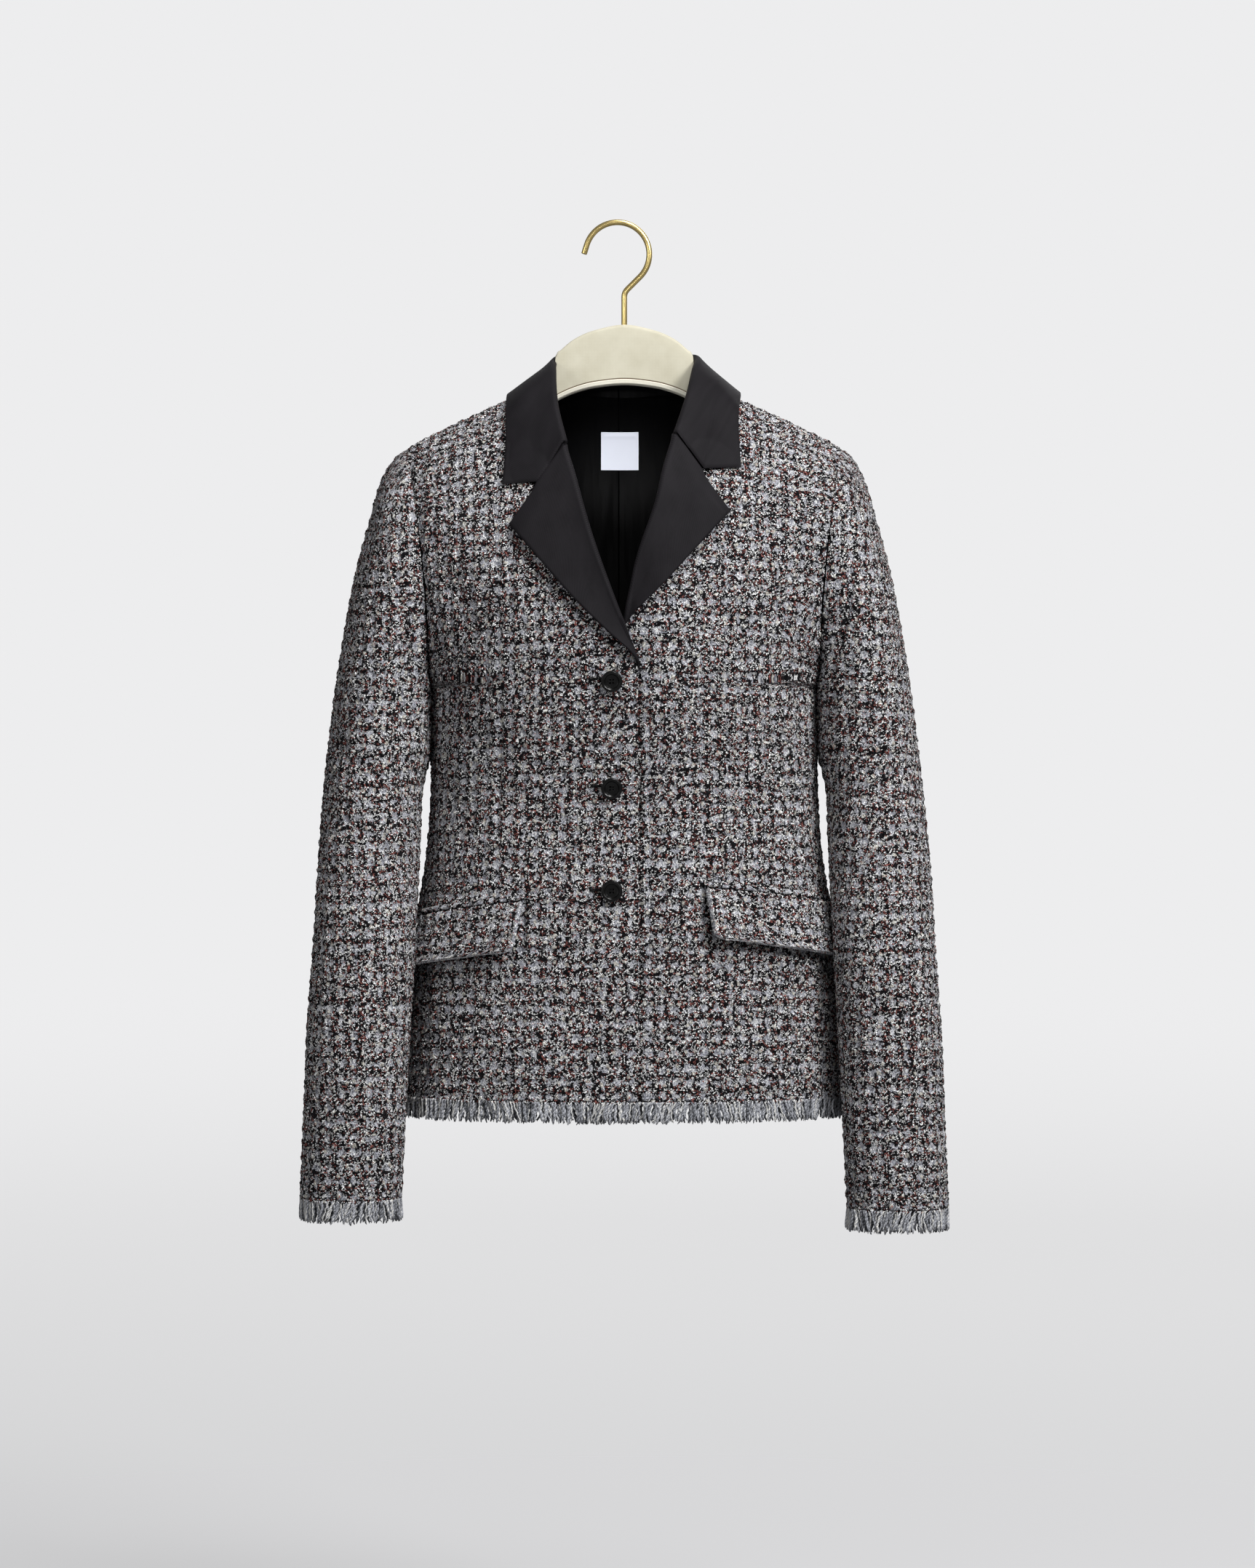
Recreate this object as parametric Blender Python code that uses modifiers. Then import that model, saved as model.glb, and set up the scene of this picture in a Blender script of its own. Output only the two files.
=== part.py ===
"""A cropped tweed jacket on a coat hanger, in metres, +Z up, its front towards -Y.

The origin is on the inside of the hook's bend, straight above the stem, where a rail carries it.
The jacket is one shell of rings (hem to shoulders) with a sleeve tube on each armhole. Every
panel is a stretch of that shell with its own wall, and what lies on a panel is the panel's own
surface moved out. "right" and "left" are the wearer's, so "right" is at -X.
"""

import math
from bisect import bisect_right
from collections import namedtuple

import bmesh
import bpy
from mathutils import Vector

MM = 0.001

# ------------------------------------------------------------------ driving sizes
CLOTH = 2.0 * MM             # tweed with its fusing
FACING = 1.6 * MM            # satin on its undercloth: collar and lapels
LINING = 1.0 * MM
LABEL_CLOTH = 1.0 * MM
FLAP_CLOTH = 3.0 * MM        # a pocket flap is two cloths
SEAM_GAP = 0.5 * MM          # between two pieces along a seam
REST_GAP = 0.6 * MM          # under a piece that lies on another
FACET_ROOM = 1.6 * MM        # the same, where the two are faceted unlike each other
FRINGE_LENGTH = 17.0 * MM    # at the hem
CUFF_FRINGE_LENGTH = 18.0 * MM
FRINGE_CLOTH = 2.6 * MM

FRONT_EDGE = 11.3 * MM       # the right front's edge, past the middle plane
UNDERLAP_EDGE = 31.0 * MM    # the left front's edge, past the middle plane, under the right front
UNDERLAP_DROP = 4.5 * MM     # how far the left front lies under the right one
UNDERLAP_FADE_X = (4 * MM, 34 * MM)      # that drop goes to nothing between these distances
UNDERLAP_FADE_LEVEL = (1.3, 1.5)         # and between these levels
LEFT_SLEEVE_DROP = 8.0 * MM  # the left sleeve hangs lower by this at its cuff

LEVELS_BELOW_ARMHOLE = (0.0, 0.16, 0.32, 0.48, 0.64, 0.82)
# Turns round the armhole ring, from the shoulder to the underarm, in degrees.
ARMHOLE_TURNS = (0.0, 9.0, 22.5, 45.0, 67.5, 90.0, 112.5, 135.0, 157.5, 180.0)
UPPER_SLEEVE_TURN = 112.5    # the upper sleeve reaches this far each way from its outer line
PANEL_COLUMNS = 8
NUDGE = 0.01                 # the step in level or angle that a normal is measured over

RIGHT, LEFT = -1, 1
FRONT, BACK = -1, 1
SIDE_NAME = {RIGHT: "right", LEFT: "left"}

# The body's rings. Level 0 is the hem, 1 the underarm, 2 the shoulder seam.
Section = namedtuple("Section", "level height half_width front_depth back_depth")
SECTIONS = [
    Section(0.00, -0.729, 0.1900, 0.104, 0.092),   # hem
    Section(0.25, -0.645, 0.1835, 0.101, 0.088),   # hip
    Section(0.48, -0.567, 0.1740, 0.097, 0.081),   # pocket
    Section(0.70, -0.488, 0.1635, 0.093, 0.073),   # waist
    Section(0.85, -0.440, 0.1610, 0.098, 0.076),   # ribs
    Section(1.00, -0.386, 0.1610, 0.105, 0.083),   # underarm
    Section(1.25, -0.318, 0.1610, 0.106, 0.088),   # bust
    Section(1.50, -0.240, 0.1610, 0.094, 0.086),   # chest
    Section(1.75, -0.166, 0.1610, 0.067, 0.070),   # yoke
    Section(1.90, -0.128, 0.1610, 0.037, 0.044),
    Section(2.00, -0.1175, 0.1610, 0.000, 0.000),  # shoulder seam
]
SIDE_SEAM_ANGLE = math.radians(90)      # how far round a row has turned at the side seam
ARMHOLE_ANGLE = math.radians(62)        # and at the armhole seam
ROW_TILT_ROUND = 0.35                   # how much of a tilted row stays level at the middle

# The sleeve's rings, each through an outer and an inner point of the front view.
SleeveRing = namedtuple("SleeveRing", "outer_x outer_z inner_x inner_z half_depth centre_y hollow")
SLEEVE_RINGS = [
    SleeveRing(0.1820, -0.186, 0.1610, -0.386, 0.056, 0.000, 0.0045),   # armhole seam
    SleeveRing(0.1955, -0.199, 0.1640, -0.396, 0.058, 0.000, 0.0020),   # sleeve head
    SleeveRing(0.2050, -0.216, 0.1650, -0.403, 0.059, 0.000, 0.0),
    SleeveRing(0.2140, -0.248, 0.1655, -0.409, 0.060, -0.001, 0.0),
    SleeveRing(0.2252, -0.290, 0.1660, -0.416, 0.060, -0.002, 0.0),
    SleeveRing(0.2350, -0.342, 0.1665, -0.425, 0.059, -0.004, 0.0),
    SleeveRing(0.2435, -0.400, 0.1675, -0.438, 0.057, -0.008, 0.0),
    SleeveRing(0.2500, -0.462, 0.1690, -0.480, 0.053, -0.017, 0.0),
    SleeveRing(0.2540, -0.530, 0.1706, -0.540, 0.048, -0.032, 0.0),     # elbow
    SleeveRing(0.2568, -0.600, 0.1731, -0.604, 0.044, -0.050, 0.0),
    SleeveRing(0.2611, -0.665, 0.1762, -0.667, 0.041, -0.058, 0.0),
    SleeveRing(0.2639, -0.737, 0.1799, -0.738, 0.038, -0.062, 0.0),
    SleeveRing(0.2668, -0.810, 0.1835, -0.810, 0.036, -0.064, 0.0),     # cuff
]
DROP_FROM_Z, DROP_OVER = -0.45, 0.36    # the left sleeve's extra length is below this height

# The roll line: each front's edge above its break, by its distance towards the front's own side.
RollPoint = namedtuple("RollPoint", "level x")
ROLL = {
    RIGHT: [
        RollPoint(1.04, -FRONT_EDGE),
        RollPoint(1.10, -0.0065),
        RollPoint(1.18, 0.0015),
        RollPoint(1.26, 0.0106),
        RollPoint(1.38, 0.0214),
        RollPoint(1.50, 0.0322),
        RollPoint(1.68, 0.0468),
        RollPoint(1.82, 0.0568),
        RollPoint(1.94, 0.0600),
        RollPoint(2.00, 0.0610),
    ],
    LEFT: [
        RollPoint(0.98, -UNDERLAP_EDGE),
        RollPoint(1.07, -0.0140),
        RollPoint(1.17, -0.0005),
        RollPoint(1.37, 0.0115),
        RollPoint(1.50, 0.0240),
        RollPoint(1.60, 0.0312),
        RollPoint(1.70, 0.0395),
        RollPoint(1.82, 0.0500),
        RollPoint(1.94, 0.0560),
        RollPoint(2.00, 0.0580),
    ],
}
BACK_NECK_LEVEL = 1.885      # where the back's neck seam crosses the middle

# A lapel's rows from the gorge to the break: its roll line and its outer edge.
LapelRow = namedtuple("LapelRow", "roll_x roll_z edge_x edge_z")
LAPEL = {
    RIGHT: [
        LapelRow(0.0470, -0.1920, 0.0939, -0.2556),    # gorge, to the lapel's point
        LapelRow(0.0400, -0.2145, 0.0785, -0.2733),
        LapelRow(0.0319, -0.2443, 0.0627, -0.2919),
        LapelRow(0.0212, -0.2803, 0.0413, -0.3165),
        LapelRow(0.0106, -0.3142, 0.0153, -0.3427),
        LapelRow(0.0011, -0.3385, -0.0036, -0.3608),
        LapelRow(-0.0076, -0.3625, -0.0088, -0.3662),  # break
    ],
    LEFT: [
        LapelRow(0.0395, -0.1835, 0.0867, -0.2450),
        LapelRow(0.0318, -0.2091, 0.0773, -0.2550),
        LapelRow(0.0250, -0.2380, 0.0528, -0.2819),
        LapelRow(0.0125, -0.2802, 0.0231, -0.3153),
        LapelRow(0.0065, -0.3090, 0.0110, -0.3270),
        LapelRow(0.0010, -0.3360, 0.0014, -0.3380),
    ],
}
LAPEL_COLUMNS = 4
LAPEL_ROLL_LIFT = 1.2 * MM   # how far a lapel's middle stands off its front

# The collar's stations from the centre back to its front end: its fold and its outer edge.
CollarStation = namedtuple("CollarStation", "along fold_x fold_y fold_z edge_x edge_y edge_z bulge")
COLLAR_BACK = [
    CollarStation(0, 0.0000, 0.0360, -0.1065, 0.0000, 0.0600, -0.1760, 0.0060),    # centre back
    CollarStation(1, 0.0300, 0.0325, -0.1065, 0.0380, 0.0580, -0.1755, 0.0060),
    CollarStation(2, 0.0520, 0.0175, -0.1085, 0.0760, 0.0430, -0.1680, 0.0070),
]
COLLAR = {
    RIGHT: COLLAR_BACK + [
        CollarStation(3, 0.0602, -0.0020, -0.1140, 0.0970, 0.0000, -0.1441, 0.0030),   # shoulder
        CollarStation(4, 0.0597, -0.0300, -0.1270, 0.0974, -0.0450, -0.1660, 0.0040),
        CollarStation(5, 0.0569, -0.0620, -0.1550, 0.0974, -0.0650, -0.1965, 0.0020),
        CollarStation(6, 0.0480, -0.0800, -0.1880, 0.1003, -0.0750, -0.2225, 0.0),     # front end
    ],
    LEFT: COLLAR_BACK + [
        CollarStation(3, 0.0585, -0.0020, -0.1120, 0.0955, 0.0000, -0.1425, 0.0030),
        CollarStation(4, 0.0550, -0.0300, -0.1250, 0.0945, -0.0450, -0.1570, 0.0040),
        CollarStation(5, 0.0505, -0.0600, -0.1500, 0.0941, -0.0600, -0.1785, 0.0020),
        CollarStation(6, 0.0405, -0.0760, -0.1795, 0.0962, -0.0700, -0.2085, 0.0),
    ],
}
NOTCH_DIP = Vector((-5.0 * MM, 0.0, -15.6 * MM))   # from the end's straight line to the notch
COLLAR_STEPS = 15            # rows in each half of the collar
COLLAR_COLUMNS = 5
COLLAR_CLEAR = 2.8 * MM      # the least room between the collar and the shell
COLLAR_LEAN = Vector((0.02, 0.0, 0.03))  # with the edge's own depth, the way the fall bulges
STAND_STATIONS = 3           # the stand runs this far each way from the centre back
STAND_ROWS = 6
STAND_FOOT = Vector((0.0, -1.0 * MM, 0.8 * MM))     # its lower edge, from the neck seam
STAND_TOP = Vector((0.0, 0.0, -1.2 * MM))          # its upper edge, from the collar's fold

# A pocket flap: near end towards the middle, far end at the side seam, as angles round the body.
Flap = namedtuple("Flap", "near_angle far_angle near_z far_z")
FLAP = {
    RIGHT: Flap(math.radians(28.0), math.radians(78.0), -0.5635, -0.5790),
    LEFT: Flap(math.radians(22.3), math.radians(78.0), -0.5525, -0.5665),
}
FLAP_HEIGHT = 43.0 * MM
FLAP_SLANT = math.radians(2.2)
FLAP_CORNER = 11.0 * MM
FLAP_LIFT = 1.8 * MM         # how far its lower edge stands off the front
FLAP_ROWS = (0.0, 0.4, 0.75, 0.88, 0.96, 1.0)
FLAP_COLUMNS = 7
POCKET_X, POCKET_LEVEL = 0.100, 0.4      # the middle of a pocket
WELT_HEIGHT = 5.0 * MM
WELT_CLOTH = 1.4 * MM

BUTTON_X = 10.0 * MM
BUTTON_HEIGHTS = {"top": -0.3845, "middle": -0.4714, "bottom": -0.5556}
BUTTON_RADIUS = 8.7 * MM
BUTTON_HOLE_SPREAD = 1.6 * MM
BUTTON_HOLE_RADIUS = 0.85 * MM
BUTTON_HOLE_TURN = math.radians(12)
BUTTON_SEGMENTS = 24
ButtonPoint = namedtuple("ButtonPoint", "radius rise")
BUTTON_PROFILE = [               # a raised rim round a shallow dish
    ButtonPoint(0.0, 1.7 * MM),
    ButtonPoint(4.8 * MM, 1.9 * MM),
    ButtonPoint(6.0 * MM, 3.1 * MM),
    ButtonPoint(7.4 * MM, 3.3 * MM),
    ButtonPoint(BUTTON_RADIUS, 2.2 * MM),
    ButtonPoint(BUTTON_RADIUS, 1.2 * MM),
    ButtonPoint(6.4 * MM, 0.0),
    ButtonPoint(0.0, 0.0),
]

LABEL_SIZE = 33.0 * MM
LABEL_CENTRE_X, LABEL_TOP_Z = -4.0 * MM, -0.1665
LABEL_ROWS, LABEL_COLUMNS = 2, 3

# The hanger's outline, by half width: its top and its bottom edge.
HangerStation = namedtuple("HangerStation", "x top bottom")
HANGER = [
    HangerStation(0.0000, -0.0830, -0.1336),
    HangerStation(0.0240, -0.0880, -0.1362),
    HangerStation(0.0380, -0.0950, -0.1405),
    HangerStation(0.0490, -0.1045, -0.1455),
    HangerStation(0.0530, -0.1090, -0.1478),
    HangerStation(0.0545, -0.1250, -0.1485),
    HangerStation(0.0560, -0.1380, -0.1500),
    HangerStation(0.0800, -0.1470, -0.1660),
    HangerStation(0.1100, -0.1570, -0.1850),
    HangerStation(0.1400, -0.1720, -0.2020),
    HangerStation(0.1600, -0.1840, -0.2130),
    HangerStation(0.1680, -0.1960, -0.2080),
]
HANGER_THICKNESS = 12.0 * MM
HANGER_ROUNDING = 2.5 * MM

WIRE_RADIUS = 2.45 * MM
HOOK_RADIUS = 26.8 * MM      # of the wire's middle line
HOOK_CENTRE_X = -5.8 * MM
HOOK_TIP_LENGTH = 8.0 * MM
HOOK_START, HOOK_END = math.radians(163), math.radians(-45)   # round its centre, tip to neck
STEM_IN_HEAD = 14.0 * MM
STEM_CLEAR = 0.3 * MM
HOOK_STEPS = 28
HOOK_CORNER, HOOK_CORNER_BELOW = 5.0 * MM, 7.0 * MM   # the soft corner into the stem: across, down
HOOK_CORNER_STEPS = 5

TWEED = (0.21, 0.22, 0.24)
SATIN = (0.022, 0.021, 0.024)
BLACK = (0.008, 0.008, 0.009)
WHITE = (0.68, 0.70, 0.78)
CREAM = (0.68, 0.64, 0.50)
GOLD = (0.72, 0.58, 0.24)


# ------------------------------------------------------------------ reading tables
def curve_through(table, key, value):
    """Returns a smooth function of a table's key column through its value column."""
    keys = [getattr(row, key) for row in table]
    values = [getattr(row, value) for row in table]
    last = len(table) - 1
    slopes = []
    for i in range(last + 1):
        before, after = max(i - 1, 0), min(i + 1, last)
        slopes.append((values[after] - values[before]) / (keys[after] - keys[before]))

    def read(at):
        i = min(max(bisect_right(keys, at) - 1, 0), last - 1)
        span = keys[i + 1] - keys[i]
        t = min(max((at - keys[i]) / span, 0.0), 1.0)
        start = (1 + 2 * t) * (1 - t) ** 2 * values[i] + t * (1 - t) ** 2 * span * slopes[i]
        end = t * t * (3 - 2 * t) * values[i + 1] + t * t * (t - 1) * span * slopes[i + 1]
        return start + end

    return read


def blend(low, high, at):
    """Goes smoothly from 0 at low to 1 at high."""
    t = min(max((at - low) / (high - low), 0.0), 1.0)
    return t * t * (3 - 2 * t)


centre_height = curve_through(SECTIONS, "level", "height")
half_width = curve_through(SECTIONS, "level", "half_width")
depth_of = {
    FRONT: curve_through(SECTIONS, "level", "front_depth"),
    BACK: curve_through(SECTIONS, "level", "back_depth"),
}
roll_x = {side: curve_through(ROLL[side], "level", "x") for side in (RIGHT, LEFT)}


# ------------------------------------------------------------------ the shell of the jacket
def sleeve_point(side, ring, turn):
    """A point of a sleeve ring; turn is 0 at its outer line and grows over the front."""
    drop = 0.0
    if side == LEFT:
        drop = LEFT_SLEEVE_DROP * blend(0.0, 1.0, (DROP_FROM_Z - ring.outer_z) / DROP_OVER)
    middle_x = (ring.outer_x + ring.inner_x) / 2
    middle_z = (ring.outer_z + ring.inner_z) / 2 - drop
    x = middle_x + (ring.outer_x - ring.inner_x) / 2 * math.cos(turn)
    x -= ring.hollow * math.sin(turn) ** 2
    y = ring.centre_y - ring.half_depth * math.sin(turn)
    z = middle_z + (ring.outer_z - ring.inner_z) / 2 * math.cos(turn)
    return Vector((x * side, y, z))


def row_end(face, level):
    """The outer end of a body row, taken at +X: the side seam, then the armhole seam."""
    if level <= 1.0:
        return Vector((half_width(level), 0.0, centre_height(level)))
    return sleeve_point(LEFT, SLEEVE_RINGS[0], -face * math.pi * (2.0 - level))


def end_angle(level):
    """How far round a body row has turned at its outer end."""
    return SIDE_SEAM_ANGLE + (ARMHOLE_ANGLE - SIDE_SEAM_ANGLE) * blend(1.0, 1.3, level)


def angle_at(face, level, x):
    """How far round a body row has turned at a distance from the middle."""
    sine = x / row_end(face, level).x * math.sin(end_angle(level))
    return math.asin(max(-1.0, min(1.0, sine)))


def body_point(side, face, level, angle):
    """A point of the body's shell, on a row, so far round from the middle."""
    end = row_end(face, level)
    last = end_angle(level)
    x = end.x * math.sin(angle) / math.sin(last)
    share = (math.cos(angle) - math.cos(last)) / (1 - math.cos(last))
    y = end.y + (face * depth_of[face](level) - end.y) * share
    tilt = math.hypot(x / end.x, ROW_TILT_ROUND) - ROW_TILT_ROUND
    tilt /= math.hypot(1.0, ROW_TILT_ROUND) - ROW_TILT_ROUND
    z = centre_height(level) + (end.z - centre_height(level)) * tilt
    if side == LEFT and face == FRONT:
        y += UNDERLAP_DROP * (1 - blend(*UNDERLAP_FADE_X, x)) * (1 - blend(*UNDERLAP_FADE_LEVEL, level))
    return Vector((x * side, y, z))


def row_start(side, face, level):
    """Where a body row starts: the front edge or roll line, the centre back or the neck."""
    if face == FRONT:
        return roll_x[side](level)
    if level <= BACK_NECK_LEVEL:
        return 0.0
    depth = depth_of[BACK](level) / depth_of[BACK](BACK_NECK_LEVEL)
    return ROLL[side][-1].x * math.sqrt(max(0.0, 1 - depth ** 2))


def panel_grid(side, face):
    """The rows of points of a front or half back, each from its inner edge to its side."""
    levels = list(LEVELS_BELOW_ARMHOLE) + [2 - turn / 180 for turn in reversed(ARMHOLE_TURNS)]
    rows = []
    for level in levels:
        start = angle_at(face, level, row_start(side, face, level))
        step = (end_angle(level) - start) / PANEL_COLUMNS
        rows.append([body_point(side, face, level, start + step * k) for k in range(PANEL_COLUMNS + 1)])
    return rows


def sleeve_grid(side, first, last):
    """The rings of a sleeve between two turns from its outer line, in degrees."""
    back = list(reversed(ARMHOLE_TURNS))
    around = [-turn for turn in back] + list(ARMHOLE_TURNS[1:-1]) + [360 - turn for turn in back]
    turns = [math.radians(turn) for turn in around if first <= turn <= last]
    return [[sleeve_point(side, ring, turn) for turn in turns] for ring in SLEEVE_RINGS]


def level_at(side, face, x, z):
    """The level of the shell's row that passes the height z at a distance from the middle."""
    low, high = 0.0, 2.0
    for _ in range(30):
        middle = (low + high) / 2
        if body_point(side, face, middle, angle_at(face, middle, x)).z < z:
            low = middle
        else:
            high = middle
    return (low + high) / 2


def shell_at(side, face, x, z, out):
    """The shell's point at a place of the front view, moved out along its normal."""
    level = level_at(side, face, x, z)
    angle = angle_at(face, level, x)
    point = body_point(side, face, level, angle)
    round_it = body_point(side, face, level, angle + NUDGE) - body_point(side, face, level, angle - NUDGE)
    above, below = min(level + NUDGE, 2.0), max(level - NUDGE, 0.0)
    up_it = body_point(side, face, above, angle) - body_point(side, face, below, angle)
    normal = round_it.cross(up_it).normalized()
    if normal.y * face < 0:
        normal.negate()
    return point + normal * out


# ------------------------------------------------------------------ making solids
def finished(obj, colour, roughness, metallic=0.0):
    """Puts a piece in the jacket's collection with a material of its own."""
    jacket.objects.link(obj)
    material = bpy.data.materials.new(obj.name + "_finish")
    material.use_nodes = True
    shader = material.node_tree.nodes["Principled BSDF"]
    shader.inputs["Base Color"].default_value = (*colour, 1.0)
    shader.inputs["Roughness"].default_value = roughness
    shader.inputs["Metallic"].default_value = metallic
    obj.data.materials.clear()
    obj.data.materials.append(material)
    return obj


def place(point):
    """A point's place to a tenth of a millimetre, as a key."""
    return tuple(round(value * 10000) for value in point)


def add_sheet(cloth, rows, closed=False):
    """Adds a grid of points to a bmesh as quads and returns its vertices by row."""
    verts = [[cloth.verts.new(point) for point in row] for row in rows]
    for lower, upper in zip(verts, verts[1:]):
        for k in range(0 if closed else 1, len(lower)):
            cloth.faces.new([lower[k - 1], lower[k], upper[k], upper[k - 1]])
    return verts


def normals_of(grids):
    """The smooth normals of several grids taken as one surface, by place."""
    cloth = bmesh.new()
    for rows in grids:
        add_sheet(cloth, rows)
    bmesh.ops.remove_doubles(cloth, verts=cloth.verts, dist=0.00005)
    bmesh.ops.recalc_face_normals(cloth, faces=cloth.faces)
    cloth.normal_update()
    normals = {place(vert.co): vert.normal.copy() for vert in cloth.verts}
    cloth.free()
    return normals


def moved(rows, normals, distance):
    """The grid moved along its normals."""
    return [[point + normals[place(point)] * distance for point in row] for row in rows]


def drawn_in(rows, gap):
    """The grid with its rim pulled in by a gap, as a piece's edge at its seams."""
    result = [[point.copy() for point in row] for row in rows]
    for row, source in zip(result, rows):
        row[0] += (source[1] - source[0]).normalized() * gap
        row[-1] += (source[-2] - source[-1]).normalized() * gap
    for k in range(len(rows[0])):
        result[0][k] += (rows[1][k] - rows[0][k]).normalized() * gap
        result[-1][k] += (rows[-2][k] - rows[-1][k]).normalized() * gap
    return result


def wall(name, outer, inner, colour, roughness, closed=False):
    """A closed wall between an outer and an inner grid of points."""
    cloth = bmesh.new()
    sheets = [add_sheet(cloth, outer, closed), add_sheet(cloth, inner, closed)]
    if closed:
        rims = [[sheet[end] for sheet in sheets] for end in (0, -1)]
    else:
        rims = [[]]
        for sheet in sheets:
            loop = list(sheet[0]) + [row[-1] for row in sheet[1:-1]]
            loop += list(reversed(sheet[-1])) + [row[0] for row in reversed(sheet[1:-1])]
            rims[0].append(loop)
    for out_loop, in_loop in rims:
        for k in range(len(out_loop)):
            cloth.faces.new([out_loop[k - 1], out_loop[k], in_loop[k], in_loop[k - 1]])
    bmesh.ops.recalc_face_normals(cloth, faces=cloth.faces)
    mesh = bpy.data.meshes.new(name)
    cloth.to_mesh(mesh)
    cloth.free()
    mesh.shade_smooth()
    mesh.set_sharp_from_angle(angle=math.radians(40))
    return finished(bpy.data.objects.new(name, mesh), colour, roughness)


def panel_wall(name, rows, normals, under, thickness, colour, roughness):
    """A panel of the shell: its surface moved in twice, with its rim drawn in from the seams."""
    outer = drawn_in(moved(rows, normals, -under), SEAM_GAP / 2)
    inner = drawn_in(moved(rows, normals, -under - thickness), SEAM_GAP / 2)
    wall(name, outer, inner, colour, roughness)


def laid_wall(name, rows, thickness, colour, roughness):
    """A piece that lies on the shell, from its under side's grid out."""
    normals = normals_of([rows])
    middle = Vector((0.0, 0.0, rows[0][0].z))
    facing = sum((point - middle).dot(normals[place(point)]) for row in rows for point in row)
    distance = thickness if facing > 0 else -thickness
    wall(name, moved(rows, normals, distance), rows, colour, roughness)


# ------------------------------------------------------------------ fronts, back, sleeves, fringes
def make_shell_panels(side):
    """Cuts one side's shell into front, half back, upper sleeve and under sleeve."""
    panels = {
        "front": panel_grid(side, FRONT),
        "back": panel_grid(side, BACK),
        "upper_sleeve": sleeve_grid(side, -UPPER_SLEEVE_TURN, UPPER_SLEEVE_TURN),
        "under_sleeve": sleeve_grid(side, UPPER_SLEEVE_TURN, 360 - UPPER_SLEEVE_TURN),
    }
    normals = normals_of(panels.values())
    for row in panels["back"]:
        if abs(row[0].x) < 0.1 * MM:     # the centre back seam lies in the middle plane
            flat = normals[place(row[0])]
            flat.x = 0.0
            flat.normalize()
    for name, rows in panels.items():
        panel_wall(SIDE_NAME[side] + "_" + name, rows, normals, 0.0, CLOTH, TWEED, 0.9)
    inside = CLOTH + REST_GAP
    panel_wall(SIDE_NAME[side] + "_back_lining", panels["back"][1:], normals, inside, LINING, BLACK, 0.4)
    return panels, normals


def fringe_rows(edge, normals, reach):
    """Two rows of points under a cut edge: the fringe's top and bottom, outside and inside."""
    top = [point - Vector((0, 0, SEAM_GAP)) for point in edge]
    bottom = [point - Vector((0, 0, reach)) for point in edge]
    inwards = [normals[place(point)].copy() for point in edge]
    for normal in inwards:
        normal.z = 0.0
        normal.normalize()
    moved_in = [[p - n * FRINGE_CLOTH for p, n in zip(row, inwards)] for row in (bottom, top)]
    return [bottom, top], moved_in


def make_fringes(shell):
    """The plain reach of the hem's and the cuffs' fringes."""
    for side in (RIGHT, LEFT):
        panels, normals = shell[side]
        outer, inner = fringe_rows(panels["front"][0], normals, FRINGE_LENGTH)
        gap = SEAM_GAP / 2
        wall(SIDE_NAME[side] + "_front_fringe", drawn_in(outer, gap), drawn_in(inner, gap), TWEED, 0.9)
        cuff = panels["upper_sleeve"][-1] + panels["under_sleeve"][-1][1:-1]
        outer, inner = fringe_rows(cuff, normals, CUFF_FRINGE_LENGTH)
        wall(SIDE_NAME[side] + "_cuff_fringe", outer, inner, TWEED, 0.9, closed=True)
    back_edge = list(reversed(shell[RIGHT][0]["back"][0])) + shell[LEFT][0]["back"][0][1:]
    both = {**shell[RIGHT][1], **shell[LEFT][1]}
    outer, inner = fringe_rows(back_edge, both, FRINGE_LENGTH)
    wall("back_fringe", drawn_in(outer, SEAM_GAP / 2), drawn_in(inner, SEAM_GAP / 2), TWEED, 0.9)


# ------------------------------------------------------------------ lapels and collar
def make_lapel(side):
    """A lapel: the facing turned out over its front, from the roll line to its outer edge."""
    rows = []
    for row in LAPEL[side]:
        points = []
        for k in range(LAPEL_COLUMNS + 1):
            share = k / LAPEL_COLUMNS
            x = row.roll_x + (row.edge_x - row.roll_x) * share
            z = row.roll_z + (row.edge_z - row.roll_z) * share
            out = FACET_ROOM + LAPEL_ROLL_LIFT * math.sin(math.pi * share)
            points.append(shell_at(side, FRONT, x, z, out))
        rows.append(points)
    laid_wall(SIDE_NAME[side] + "_lapel", rows, FACING, SATIN, 0.5)


def clear_of_shell(side, point, out):
    """The point, or where the shell moved out by so much covers it."""
    face = FRONT if point.y < 0 else BACK
    if point.z > body_point(side, face, 2.0, angle_at(face, 2.0, abs(point.x))).z:
        return point
    covered = shell_at(side, face, abs(point.x), point.z, out)
    return covered if (covered.y - point.y) * face > 0 else point


def collar_row(side, along):
    """The collar's points at a station, from its fold to its outer edge."""
    read = {name: curve_through(COLLAR[side], "along", name)(along) for name in CollarStation._fields}
    fold = Vector((read["fold_x"], read["fold_y"], read["fold_z"]))
    edge = Vector((read["edge_x"], read["edge_y"], read["edge_z"]))
    away = (COLLAR_LEAN + Vector((0.0, edge.y, 0.0))).normalized()
    dip = NOTCH_DIP * blend(COLLAR[side][-2].along, COLLAR[side][-1].along, along)
    points = []
    for k in range(COLLAR_COLUMNS + 1):
        share = k / COLLAR_COLUMNS
        point = fold.lerp(edge, share) + away * read["bulge"] * math.sin(math.pi * share)
        point += dip * (1 - abs(2 * share - 1))
        point.x *= side
        points.append(clear_of_shell(side, point, COLLAR_CLEAR))
    return points


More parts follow.
